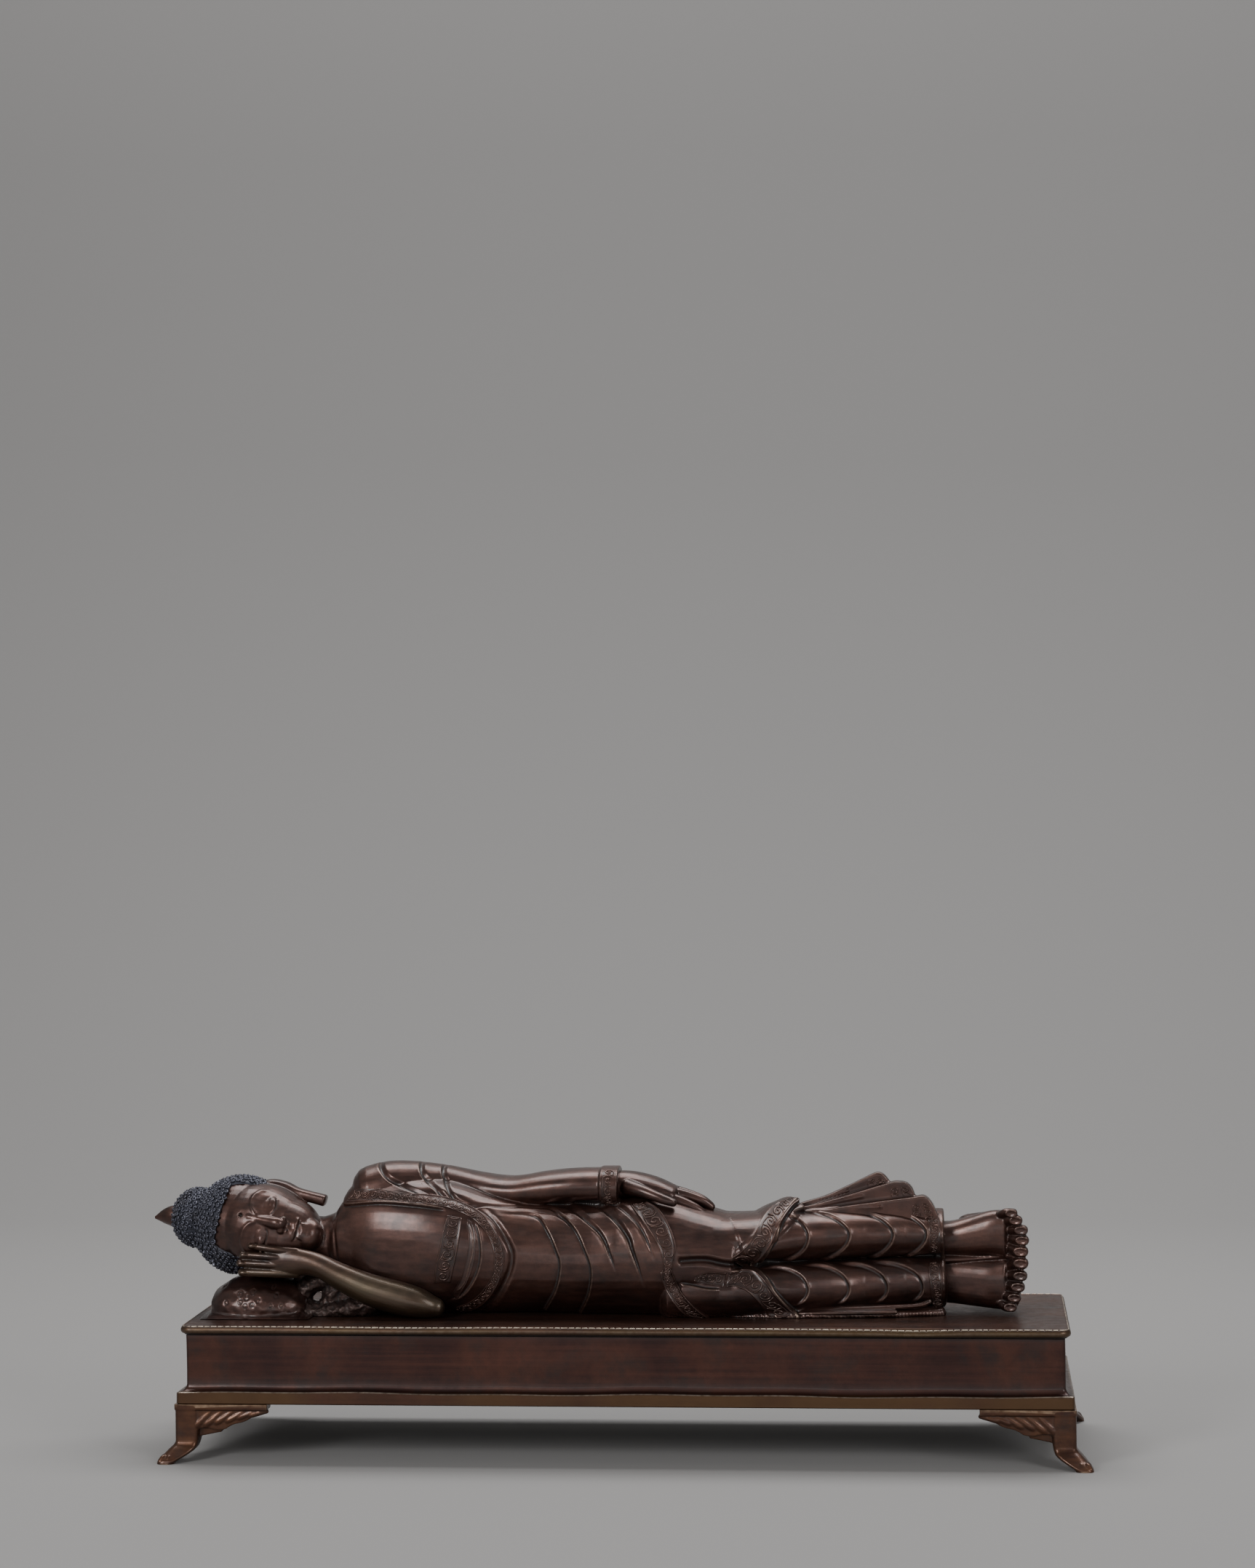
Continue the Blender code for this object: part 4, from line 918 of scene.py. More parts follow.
def running_scrolls(bm, strip, rng, lift, fill=0.64):
    """Spirals that spring one from the other along the strip, with small leaves between them."""
    places = strip[0]
    count = places.shape[0]
    middle = places[:, places.shape[1] // 2]
    run = np.concatenate([[0.0], np.cumsum(np.linalg.norm(np.diff(middle, axis=0), axis=1))])
    widths = np.linalg.norm(places[:, -1] - places[:, 0], axis=1)
    at, sign = 1.2, 1
    while at < run[-1] - 1.5:
        width = float(np.interp(at, run, widths)) * fill
        pitch = max(width * 0.95, 2.2)
        reach = width * 0.46
        centre = at + pitch * 0.5
        theta = np.linspace(0, 2 * math.pi * SCROLL_TURNS, 15)
        radius = reach * (1 - 0.82 * theta / theta[-1]) * rng.uniform(0.9, 1.05)
        spiral = np.stack([centre + radius * np.sin(theta), sign * -radius * np.cos(theta)], 1)
        stem = [(centre - pitch * 0.9, -sign * width * 0.30), (centre - pitch * 0.45, -sign * width * 0.45)]
        curls = [(np.vstack([stem, spiral]), 0.055 * width + 0.14)]
        leaf = [(centre - pitch * 0.55, -sign * width * 0.36), (centre - pitch * 0.42, 0.0)]
        leaf.append((centre - pitch * 0.62, sign * width * 0.40))
        curls.append((catmull(leaf, 4), 0.05 * width + 0.10))
        for points, thick in curls:
            along = np.interp(points[:, 0], run, np.arange(count))
            local = np.interp(points[:, 0], run, widths)
            tube = over(strip, along, 0.5 + points[:, 1] / local, np.full(len(points), lift))
            girth = thick * np.interp(np.linspace(0, 1, len(tube)), (0, 0.25, 0.8, 1), (0.55, 1.0, 1.0, 1.15))
            limb(bm, np.column_stack([tube, girth, girth]), sides=6, steps=1, up=(0.0, 1.0, 0.0))
        at += pitch
        sign = -sign


BANDS = {
    "chest_border": (
        (
            (-119, 61), (-103, 60), (-92, 57), (-82, 52), (-76, 46), (-72.5, 39), (-71.5, 31), (-73.5, 22),
            (-79, 14), (-86, 8), (-95, 4)
        ),
        (
            (-119, 66.5), (-102, 65), (-86, 60), (-76, 54), (-69, 46), (-64.5, 36), (-65, 28),
            (-68.5, 18.5), (-74, 10), (-82, 3.5), (-92, 0)
        ),
        0.9, (0.6, 1.3),
    ),
    "chest_band": (
        ((-97.5, 56), (-99.5, 48), (-102, 36), (-104, 28), (-105, 18)),
        ((-87.5, 54), (-88.5, 43), (-90.5, 32), (-94, 18.5)), 0.8, (0.8, 0.8)
    ),
    "chest_strip": (
        ((-86, 54), (-85, 44), (-86, 34), (-89.5, 22), (-95.5, 12)),
        ((-83, 52), (-80.5, 44), (-80.5, 34), (-84, 22), (-92, 8)), 0.5, (0.8, 0.8)
    ),
    "hip_ribbon_upper": (
        ((1, 60), (8, 52), (14, 45), (18.5, 37), (20.5, 30), (21, 20)),
        ((11, 61), (19, 58), (25, 51), (28.5, 43), (29, 36), (24.5, 20)), 1.5, (0.8, 1.5),
    ),
    "hip_ribbon_lower": (
        ((19, 26), (20.5, 18), (24, 11), (30, 3), (36, -1)),
        ((25.5, 29), (28.5, 22), (32, 15), (38, 8), (47, 0)), 1.5, (0.7, 1.8)
    ),
    "knee_hem_upper": (
        ((55, 32), (63, 37.5), (69, 45), (74, 54), (82, 60.5), (90, 65.5)),
        ((66, 26.5), (72, 29), (78, 35.5), (82.5, 43.5), (86, 51.5), (90.5, 57.5), (97, 62)), 1.1, (0.7, 1.7),
    ),
    "knee_hem_lower": (
        ((54, 16), (59, 16.5), (66, 13.5), (72, 7.5), (76, 0)),
        ((56, 25.5), (64, 26.5), (71.5, 25.5), (78, 20), (82, 14), (89, 6), (96, 0)), 1.1, (0.7, 1.7),
    ),
    "tuck": (((37, 20.5), (45, 17.6), (54, 16)), ((38.5, 23), (46, 26), (56, 25.5)), 0.9, (0.8, 0.8)),
    "collar": (
        ((-156, 60), (-135, 61.8), (-115, 61), (-100, 59.5)),
        ((-149, 68.5), (-141, 69.5), (-125, 67.5), (-104, 64.5)), 0.45, (0.9, 0.5)
    ),
    "cuff": (
        ((-14.5, 59), (-14.8, 65), (-14.8, 72), (-14, 78)), ((-5, 59), (-4.2, 65), (-4.2, 72), (-5, 78)),
        0.7, (1.0, 1.0)
    ),
    "ankle_hem_upper": (
        ((163, 33), (163, 40), (163, 47), (162, 53)), ((170.5, 32), (171, 40), (171.5, 47), (170, 54)), 0.7,
        (0.5, 1.2)
    ),
    "ankle_hem_lower": (
        ((165, 3), (164, 11), (163, 20), (162.5, 27)), ((172.5, 4), (172, 11), (171.5, 20), (170, 28)), 0.7,
        (0.5, 1.2)
    ),
}
rng = np.random.default_rng(11)
bm = bmesh.new()
for name, (edge_a, edge_b, height, lips) in BANDS.items():
    strip = strip_between(body_tree, edge_a, edge_b)
    raised_band(name, strip, height, lips)
    if name != "chest_strip":
        running_scrolls(bm, strip, rng, 0.42 * height + 0.02)
FAN_ENDS = (
    (((129, 66.8), (130, 69), (131.5, 71.2)), ((141, 68.6), (140.3, 71), (138.4, 73.2))),
    (((142, 61.5), (142.6, 65), (143.5, 68)), ((155.2, 62.8), (154.6, 65.5), (152.6, 68.2))),
    (((154, 45), (154, 53), (155, 60.5)), ((167.5, 47), (167, 54), (163.5, 60.5))),
)
for edge_a, edge_b in FAN_ENDS:
    near, far = np.array(edge_a), np.array(edge_b)
    for share in (0.0, 0.5):
        half = strip_between(fan_tree, near + (far - near) * share, near + (far - near) * (share + 0.5))
        running_scrolls(bm, half, rng, 0.05, fill=0.8)
scrolls = mesh_of(bm)
set_relief(scrolls, np.full(len(scrolls.vertices), 0.14))
show_figure("robe_scrolls", scrolls)


# Head
# Face, ears and neck in one casting with the body: smooth full cheeks, closed lids under sharp arched
# brows that run into the nose, a small drilled hole for a lost stone, and long pierced lobes.
TILT = math.radians(14)
HEAD_UP = np.array((-math.cos(TILT), 0.0, math.sin(TILT)))
TURN = math.radians(20)
HEAD_SIDE = np.array((math.sin(TILT), 0.0, math.cos(TILT)))
HEAD_FRONT = HEAD_SIDE * math.sin(TURN) + np.array((0.0, -math.cos(TURN), 0.0))
HEAD_LEFT = HEAD_SIDE * math.cos(TURN) + np.array((0.0, math.sin(TURN), 0.0))
HEAD_AXES = np.array((HEAD_LEFT, HEAD_FRONT, HEAD_UP))
HAIRLINE = np.array((-223.0, -2.0, 49.0))
FACE_LENGTH = 54.0
THIRD = FACE_LENGTH / 3


def head_point(left, front, down):
    return HAIRLINE + HEAD_LEFT * left + HEAD_FRONT * front - HEAD_UP * down


def blob(bm, centre, radii, axes=None, sides=(40, 24)):
    made = bmesh.ops.create_uvsphere(bm, u_segments=sides[0], v_segments=sides[1], radius=1.0)["verts"]
    turn = np.eye(3) if axes is None else np.asarray(axes)
    for vert in made:
        vert.co = Vector(np.array(centre) + (np.array(vert.co) * np.array(radii)) @ turn)


def add_head(bm):
    blob(bm, head_point(0, -3, 8), (25.4, 25.4, 25.6), HEAD_AXES)
    blob(bm, head_point(0, 2, 20), (24.6, 25.0, 29.5), HEAD_AXES)
    blob(bm, head_point(0, 5, 35), (19.6, 19.8, 18.8), HEAD_AXES)
    blob(bm, head_point(0, 14.6, FACE_LENGTH - 6.4), (9.6, 8.8, 7.6), HEAD_AXES)
    ridge = (
        (0, 24.6, THIRD - 4, 2.2), (0, 25.4, THIRD + 2, 2.5), (0, 26.6, THIRD + 8, 3.0),
        (0, 27.8, THIRD + 13, 3.4), (0, 26.8, 2 * THIRD - 2.6, 3.0)
    )
    limb(bm, [(*head_point(a, f, d), r, r) for a, f, d, r in ridge], sides=20)
    for side in (-1, 1):
        blob(bm, head_point(side * 3.0, 26.4, 2 * THIRD - 2.6), (2.0, 2.4, 2.1), HEAD_AXES)
        blob(bm, head_point(side * 9.0, 20.0, THIRD + 6.2), (6.2, 5.2, 4.2), HEAD_AXES)
    ear = (
        (-208, 5, 65.5, 3.6, 2.6), (-201, 5, 68.0, 4.6, 3.0), (-193, 4.5, 66.8, 4.4, 3.0),
        (-186, 3.5, 63.6, 4.0, 3.0), (-178, 2.5, 61.4, 4.0, 3.1), (-170, 2, 59.4, 4.3, 3.3),
    )
    limb(bm, ear, sides=20, steps=6, power=2.8, caps=(0.8, 0.35))
    neck = (
        (-192, 1, 38, 17, 16), (-178, 0, 36.5, 16, 15.2), (-170, 0, 36, 15.2, 15.0),
        (-163, 0, 35.5, 16.0, 18.4)
    )
    limb(bm, neck, sides=32, steps=5)
    limb(bm, TRUNK, sides=48, steps=6, power=2.25, caps=(0.1, 0.3))


def mirrored(points):
    return (np.array(points, dtype=float), np.array([(-a, d) for a, d in points], dtype=float))


def face_features():
    """Chased lines of the face as (curve in left and down, height, width)."""
    lines = []
    brow = [
        (1.6, THIRD + 1.5), (3.0, THIRD - 1.4), (6.5, THIRD - 4.2), (11.5, THIRD - 4.8),
        (16.0, THIRD - 2.4), (19.0, THIRD + 2.4)
    ]
    slit = [
        (3.8, THIRD + 7.4), (6.5, THIRD + 8.9), (10, THIRD + 9.2), (13.2, THIRD + 8.2), (15.8, THIRD + 5.8)
    ]
    crease = [(4.0, THIRD + 4.4), (7, THIRD + 2.4), (11, THIRD + 2.0), (15.2, THIRD + 4.2)]
    for points, height, width in ((brow, 0.62, 1.15), (slit, -0.55, 0.60), (crease, -0.16, 0.8)):
        for curve in mirrored(catmull(points, 5)):
            lines.append((curve, height, width))
    mouth = 2 * THIRD + THIRD / 3
    upper = [(-6.8, mouth - 0.6), (-3, mouth - 2.0), (0, mouth - 1.4), (3, mouth - 2.0), (6.8, mouth - 0.6)]
    lower = [(-5.0, mouth + 1.6), (0, mouth + 2.6), (5.0, mouth + 1.6)]
    parting = [
        (-6.6, mouth - 0.9), (-3.2, mouth + 0.1), (0, mouth - 0.2), (3.2, mouth + 0.1), (6.6, mouth - 0.9)
    ]
    for points, height, width in ((upper, 0.75, 1.4), (lower, 0.95, 1.8), (parting, -0.60, 0.65)):
        lines.append((catmull(points, 6), height, width))
    return lines


def sculpt_face(mesh):
    places, normals = read(mesh), read(mesh, "normal")
    local = (places - HAIRLINE) @ HEAD_AXES.T
    left, down = local[:, 0], -local[:, 2]
    front = smoothstep(0.15, 0.55, -normals[:, 1]) * smoothstep(64, 58, down)
    flat = np.column_stack([left, down])
    rise = -0.9 * np.exp(-(((np.abs(left) - 8.5) / 5.5) ** 2) - ((down - THIRD - 1.0) / 2.6) ** 2)
    rise += 0.9 * np.exp(-(((np.abs(left) - 11.5) / 6.5) ** 2) - ((down - THIRD - 16) / 6.0) ** 2)
    rise -= 0.25 * np.exp(-((left / 1.2) ** 2) - ((down - 2 * THIRD - 2.6) / 1.8) ** 2)
    rise -= 0.30 * np.exp(-((left / 4.5) ** 2) - ((down - 2 * THIRD - 10.4) / 1.8) ** 2)
    rise -= 1.6 * np.exp(-(((np.hypot(left, down - THIRD * 0.52)) / 0.95) ** 4))
    rise -= 0.45 * np.exp(-(((np.abs(left) - 1.7) / 0.8) ** 2) - ((down - 2 * THIRD - 0.6) / 0.8) ** 2)
    for curve, height, width in face_features():
        near = (np.abs(flat - curve.mean(0)) < np.ptp(curve, axis=0) / 2 + 3 * width + 1).all(1) & (front > 0)
        distance, along = signed_distance(flat[near], curve)
        fade = smoothstep(-0.02, 0.12, along) * smoothstep(-0.02, 0.12, 1 - along)
        rise[near] += height * np.exp(-((distance / width) ** 2)) * fade
    rise *= front
    x = places[:, 0] + 0.10 * (places[:, 2] - 36)
    for ring in (-171.5, -166.0, -160.5):
        line = 0.4 * np.exp(-(((x - ring) / 0.9) ** 2)) * smoothstep(58, 52, places[:, 2])
        rise -= line * smoothstep(56, 61, down)
    write(mesh, places + normals * rise[:, None])


bm = bmesh.new()
add_head(bm)
head = fused(bm, 0.42, 12)
sculpt_face(head)
measure_relief(head, 16, 1.1)
show_figure("head", cut(thinned(head, 112000), (JOIN_X, 0, 0), (1, 0, 0)))


# Hair
# A cap of hair with its own clear edge round the face, rising into a smaller dome behind the crown and set
# all over with snail curls. It is painted a dull blue black, a little paler on the tips of the curls.
CURL_SPACING = 2.55
CURL_RADIUS = 1.35
CURL_HEIGHT = 1.0
CURL_TURNS = 1.25
hair_blue = bronze(
    "hair_blue", (0.052, 0.055, 0.076), (0.084, 0.088, 0.118), (0.150, 0.148, 0.170), 0.45, 0.15, speckle=0.4
)


def curl_nodes():
    """Snail curls scattered over a surface, each turned at random about the surface's own direction."""
    group = bpy.data.node_groups.new("snail_curls", "GeometryNodeTree")
    face = group.interface
    face.new_socket("Cap", in_out="INPUT", socket_type="NodeSocketGeometry")
    for name in ("Spacing", "Curl radius", "Curl height", "Turns"):
        face.new_socket(name, in_out="INPUT", socket_type="NodeSocketFloat")
    face.new_socket("Finish", in_out="INPUT", socket_type="NodeSocketMaterial")
    face.new_socket("Curls", in_out="OUTPUT", socket_type="NodeSocketGeometry")
    nodes = group.nodes

    def wire(source, output, target, socket):
        group.links.new(source.outputs[output], target.inputs[socket])

    given, made = nodes.new("NodeGroupInput"), nodes.new("NodeGroupOutput")
    scatter = nodes.new("GeometryNodeDistributePointsOnFaces")
    scatter.distribute_method = "POISSON"
    scatter.inputs["Density Max"].default_value = 8.0
    scatter.inputs["Seed"].default_value = 4
    wire(given, "Cap", scatter, "Mesh")
    wire(given, "Spacing", scatter, "Distance Min")
    spiral = nodes.new("GeometryNodeCurveSpiral")
    spiral.inputs["Resolution"].default_value = 9
    spiral.inputs["Start Radius"].default_value = 0.22
    wire(given, "Turns", spiral, "Rotations")
    wire(given, "Curl radius", spiral, "End Radius")
    wire(given, "Curl height", spiral, "Height")
    turned = nodes.new("GeometryNodeTransform")
    turned.inputs["Rotation"].default_value = (math.pi, 0.0, 0.0)
    turned.inputs["Translation"].default_value = (0.0, 0.0, CURL_HEIGHT + 0.05)
    wire(spiral, "Curve", turned, "Geometry")
    profile = nodes.new("GeometryNodeCurvePrimitiveCircle")
    profile.inputs["Resolution"].default_value = 5
    profile.inputs["Radius"].default_value = 0.62
    tube = nodes.new("GeometryNodeCurveToMesh")
    tube.inputs["Fill Caps"].default_value = True
    wire(turned, "Geometry", tube, "Curve")
    wire(profile, "Curve", tube, "Profile Curve")
    spin = nodes.new("FunctionNodeRandomValue")
    spin.data_type = "FLOAT_VECTOR"
    spin.inputs[0].default_value = (-0.15, -0.15, 0.0)
    spin.inputs[1].default_value = (0.15, 0.15, 2 * math.pi)
    spin.inputs["Seed"].default_value = 9
    turn = nodes.new("FunctionNodeRotateRotation")
    turn.rotation_space = "LOCAL"
    wire(scatter, "Rotation", turn, "Rotation")
    wire(spin, 0, turn, "Rotate By")
    placed = nodes.new("GeometryNodeInstanceOnPoints")
    wire(scatter, "Points", placed, "Points")
    wire(tube, "Mesh", placed, "Instance")
    wire(turn, "Rotation", placed, "Rotation")
    real = nodes.new("GeometryNodeRealizeInstances")
    wire(placed, "Instances", real, "Geometry")
    finish = nodes.new("GeometryNodeSetMaterial")
    wire(real, "Geometry", finish, "Geometry")
    wire(given, "Finish", finish, "Material")
    wire(finish, "Geometry", made, "Curls")
    return group


def grown(mesh, group, settings):
    """The mesh that a node group makes on the given one."""
    obj = work_object(mesh)
    modifier = obj.modifiers.new("grow", "NODES")
    modifier.node_group = group
    keys = {item.name: item.identifier for item in group.interface.items_tree if item.in_out == "INPUT"}
    for name, value in settings.items():
        modifier[keys[name]] = value
    return evaluated(obj)


def hair_region(mesh, inset):
    """The part of a skin above the brow line, and behind the temples down to the nape."""
    closed = inset == 0.0
    above = cut(mesh, Vector(head_point(0, 0, -2.4 - inset)), Vector(-HEAD_UP), closed)
    behind = cut(mesh, Vector(head_point(0, 13.0 - inset, 0)), Vector(HEAD_FRONT), closed)
    slope = Vector(-HEAD_UP - HEAD_FRONT * 0.5).normalized()
    behind = cut(behind, Vector(head_point(0, 13.0 - inset, 20.0 - inset)), slope, closed)
    both = bmesh.new()
    both.from_mesh(above)
    both.from_mesh(behind)
    return both


bm = bmesh.new()
blob(bm, head_point(0, -3.6, 7.0), (26.7, 26.6, 26.8), HEAD_AXES)
blob(bm, (-241.0, 2.0, 49.9), (14.6, 15.2, 15.9))
cap = fused(bm, 0.8, 10)
cap = fused(hair_region(cap, 0.0), 0.42, 2)
field = cut(mesh_of(hair_region(cap, 0.25)), (0, 0, 13), (0, 0, -1), closed=False)
set_relief(cap, np.full(len(cap.vertices), -0.12))
show_figure("hair_cap", thinned(cap, 20000), hair_blue)
settings = {
    "Spacing": CURL_SPACING, "Curl radius": CURL_RADIUS, "Curl height": CURL_HEIGHT, "Turns": CURL_TURNS,
    "Finish": hair_blue
}
bm = bmesh.new()
bm.from_mesh(grown(field, curl_nodes(), settings))
curls = mesh_of(bm)
measure_relief(curls, 3, 1.6)
show_figure("hair_curls", curls, hair_blue)
bm = bmesh.new()
limb(
    bm,
    (
        (-249, 3, 50, 6.8, 6.8), (-256, 3, 50.6, 5.8, 6.0), (-261, 3, 50.4, 3.7, 4.1),
        (-265.9, 3, 49.8, 0.9, 1.0)
    ),
    sides=24, steps=6
)
finial = mesh_of(bm)
set_relief(finial, np.full(len(finial.vertices), 0.05))
show_figure("crown_flame", finial)


# Right forearm and hand
# The bare forearm rises from the elbow on the deck to the cheek, and the long straight fingers lie side by
# side under it. It is more rubbed than the rest and shows a greenish brown.
arm_olive = (deck_high.z + 0.0235, 0.0060, (0.088, 0.066, 0.040))
arm_bronze = bronze(
    "arm_bronze", (0.044, 0.023, 0.017), (0.084, 0.046, 0.030), (0.26, 0.19, 0.13), 0.36, 0.45,
    (60, 240, 260),
    low_tint=arm_olive
)


def add_nail(bm, place, radii):
    blob(bm, place, radii, sides=(16, 10))


bm = bmesh.new()
forearm = (
    (-102.5, -30.5, 5.4, 5.2, 5.2), (-107, -31.2, 6.4, 7.0, 6.8), (-114, -31.5, 8.4, 8.4, 8.4),
    (-124, -31, 10.8, 8.8, 9.0), (-140, -30, 15.2, 8.2, 8.6), (-156, -29, 22.0, 6.8, 7.2),
    (-166, -28.4, 27.0, 6.0, 6.4), (-174, -28, 29.2, 5.4, 6.8), (-184, -27.5, 29.4, 5.0, 8.4),
    (-193, -26.8, 29.0, 4.6, 8.6),
)
limb(bm, forearm, sides=32, steps=6)
for base_z, tip_x, tip_z, girth in (
    (35.4, -207.6, 38.6, 2.05), (31.6, -212.2, 33.6, 2.25), (27.6, -213.6, 29.0, 2.35),
    (23.4, -212.6, 24.0, 2.5)
):
    knuckle = (-192, -29.4, base_z + (tip_z - base_z) * 0.4, girth * 1.02, girth)
    tip = (tip_x + 1.5, -28.4, tip_z, girth * 0.85, girth * 0.86)
    limb(bm, ((-180, -28.4, base_z, girth, girth), knuckle, tip), sides=18, steps=6)
    add_nail(bm, (tip_x + 3.2, -30.6, tip_z - 0.1), (2.1, 0.5, 1.1))
hand = fused(bm, 0.42, 2)
measure_relief(hand, 14, 1.3)
show_figure("right_forearm", above_deck(thinned(hand, 46000)), arm_bronze)


# Left hand
# It comes out of the cuff and lies along the hip, four long fingers side by side with the thumb in front.
# Only the thumb shows its nail.
bm = bmesh.new()
limb(
    bm,
    (
        (-10, -1, 68.5, 10.5, 8.0), (2, -1, 68.4, 11.0, 7.8), (14, -2, 66.8, 11.6, 6.6),
        (24, -2, 63.8, 11, 5.2)
    ),
    sides=28, steps=6
)
for finger in range(4):
    y = -9.5 + finger * 5.4
    drop = 0.05 * (y + 1) ** 2
    reach = (42.5, 46, 45, 40)[finger]
    stations = (
        (12, y, 68.0 - drop, 3.0, 3.1), (26, y - 0.6, 65.2 - drop, 3.0, 3.1),
        (reach - 6, y - 0.6, 61.0 - drop, 2.6, 2.7), (reach, y, 57.2 - drop, 2.0, 2.1)
    )
    limb(bm, stations, sides=18, steps=6)
thumb = (
    (0, -10, 68.6, 4.0, 4.4), (8, -15, 67.0, 3.7, 3.6), (16, -18.4, 64.6, 3.1, 2.9),
    (21.5, -19.6, 62.6, 2.9, 2.7), (26.3, -19.6, 61.0, 2.5, 2.3)
)
limb(bm, thumb, sides=20, steps=6)
add_nail(bm, (25.0, -21.8, 61.8), (2.0, 0.6, 1.3))
hand = fused(bm, 0.42, 3)
measure_relief(hand, 14, 1.2)
show_figure("left_hand", thinned(hand, 36000))


# Feet
# Bare, one on the other and stretched, with five short toes each that end level. Each toe has an oval nail
# inside a raised rim, and the gaps between the toes are sawn deep.
ANKLE_X = 160
TOES = (
    ((212.0, 54.6, 2.5), (214.7, 50.6, 2.75), (217.6, 45.4, 2.85), (218.1, 39.9, 2.85), (217.7, 33.9, 3.15)),
    ((217.7, 27.5, 3.2), (217.0, 20.8, 2.95), (215.6, 14.8, 2.9), (213.5, 9.0, 2.8), (211.1, 3.9, 2.7)),
)
bm = bmesh.new()
for ankle, ball, low, high in ((38.3, 42.4, 9.4, 13.0), (16.4, 15.0, 12.8, 14.0)):
    middle = (ankle + ball) / 2
    stations = (
        (162, 9, ankle, 12.5, low), (176, 7, ankle, 11.2, low + 0.3),
        (189, 3, middle, 10.0, (low + high) / 2),
        (199, -1, ball, 8.6, high - 0.6), (206.0, -4.2, ball, 6.2, high - 0.2),
    )
    limb(bm, stations, sides=36, steps=6, power=2.5, caps=(0.3, 0.3))
    limb(
        bm, ((186, 18, middle, 11, 10), (198, 24, middle, 10, 10.6), (206, 22, middle, 6, 10)), sides=28,
        steps=5
    )
    limb(bm, ((192, 10, middle, 12, 9.5), (205, 12, middle, 8, 10)), sides=28, steps=4)
    sole = ((206, 26, middle, 5.5, 9.5), (207.5, 12, middle, 5.4, 11), (208.5, -2, ball, 5, high - 0.5))
    limb(bm, sole, sides=28, steps=5, power=2.6)
for row, ball in zip(TOES, (42.4, 15.0)):
    for tip_x, z, girth in row:
        root = (tip_x - 10.5, -5.4, z + (ball - z) * 0.2, girth * 0.9, girth * 0.92)
        joint = (tip_x - 6.5, -9.8, z, girth * 0.96, girth * 0.94)
        limb(bm, (root, joint, (tip_x - girth, -11.2, z, girth, girth)), sides=20, steps=5, caps=(0.5, 0.9))
limb(
    bm, ((170, 6, 27.5, 9, 3.6), (190, 4, 28.6, 8, 3.2), (206, 0, 30.4, 7, 3.0), (212.5, -6, 30.7, 5, 2.4)),
    sides=24, steps=4
)
feet = fused(bm, 0.45, 2)
places, normals = read(feet), read(feet, "normal")
rise = np.zeros(len(places))
facing = smoothstep(0.3, 0.7, -normals[:, 1])
for row in TOES:
    for tip_x, z, girth in row:
        distance = np.hypot((places[:, 0] - tip_x + girth * 1.45) / 1.7, places[:, 2] - z) / (girth * 0.60)
        rim = 0.50 * np.exp(-(((distance - 1.1) / 0.30) ** 2))
        rise += (rim - 0.60 * np.exp(-((distance / 0.85) ** 4))) * facing
write(feet, places + normals * rise[:, None])
measure_relief(feet, 12, 1.0)
feet = cut(above_deck(thinned(feet, 76000)), (ANKLE_X, 0, 0), (-1, 0, 0))
show_figure("bare_feet", feet)


# Pillow
# A low domed cushion on a stepped mat, cast with the head. Its front was marked with a ring punch.
bm = bmesh.new()
dome = (
    (-222.5, -3, 3, 27, 12), (-214, -4, 4, 31, 15.6), (-202, -4, 4.4, 33, 16.8), (-190, -4, 4, 31, 15),
    (-182, -3, 3, 27, 11)
)
limb(bm, dome, sides=48, steps=6, power=2.2, caps=(0.5, 0.5))
limb(bm, ((-228, -7, -4, 34.5, 7.0), (-178, -7, -4, 34.5, 7.0)), sides=48, power=3.0, caps=(0.2, 0.2))
limb(bm, ((-232, -9, -4, 37, 5.2), (-172, -9, -4, 37, 5.2)), sides=48, power=3.0, caps=(0.2, 0.2))
pillow = fused(bm, 0.6, 3)
places, normals = read(pillow), read(pillow, "normal")
rng = np.random.default_rng(3)
rise = 0.10 * np.sin(places[:, 0] * 0.9) * np.sin(places[:, 2] * 1.1)
spots = []
while len(spots) < 13:
    spot = rng.uniform((-222.0, 5.5), (-183.0, 16.5))
    if all(np.hypot(*(spot - other)) > 3.6 for other in spots):
        spots.append(spot)
for x, z in spots:
    distance = np.hypot(places[:, 0] - x, (places[:, 2] - z) * 0.8)
    rise -= 0.34 * np.exp(-(((distance - 0.95) / 0.34) ** 2)) * (normals[:, 1] < -0.2)
write(pillow, places + normals * rise[:, None])
measure_relief(pillow, 10, 1.4)
show_figure("pillow", above_deck(thinned(pillow, 30000)))


# Rough metal under the neck
# Where the mould could not be cleaned a rough web joins the neck, the forearm and the pillow. One small
# hole goes right through it.
# Its colour is darker than the figure's: rough metal, and painted shade in the recess under the neck.
dark_web = bronze("dark_web", (0.034, 0.021, 0.019), (0.055, 0.034, 0.029), (0.16, 0.12, 0.10), 0.50, 0.10)
bm = bmesh.new()
for stations in (
    ((-182, -18, 4, 8, 5), (-170, -18, 1.0, 9, 5.4), (-155, -18, 3, 12, 6), (-140, -18, 6, 12, 8)),
    ((-181, -16, 6, 7, 6), (-177.5, -16, 13, 6, 5.4), (-171, -15, 17.2, 7, 5.6), (-160, -14, 17, 9, 6)),
    ((-163, -16, 3, 8, 5), (-162, -16, 12, 8, 6), (-156, -14, 20, 9, 6)),
    ((-182, -8, 20, 9, 5), (-172, -8, 22, 10, 4), (-160, -8, 24, 12, 6)),
    ((-161, -15, 9, 8, 8), (-144, -16, 11, 9, 8)),
):
    limb(bm, stations, sides=20, steps=5)
web = fused(bm, 0.6, 2)
places, normals = read(web), read(web, "normal")
lump = np.array([0.9 * noise.noise(Vector(p) * 0.33) + 0.35 * noise.noise(Vector(p) * 0.9) for p in places])
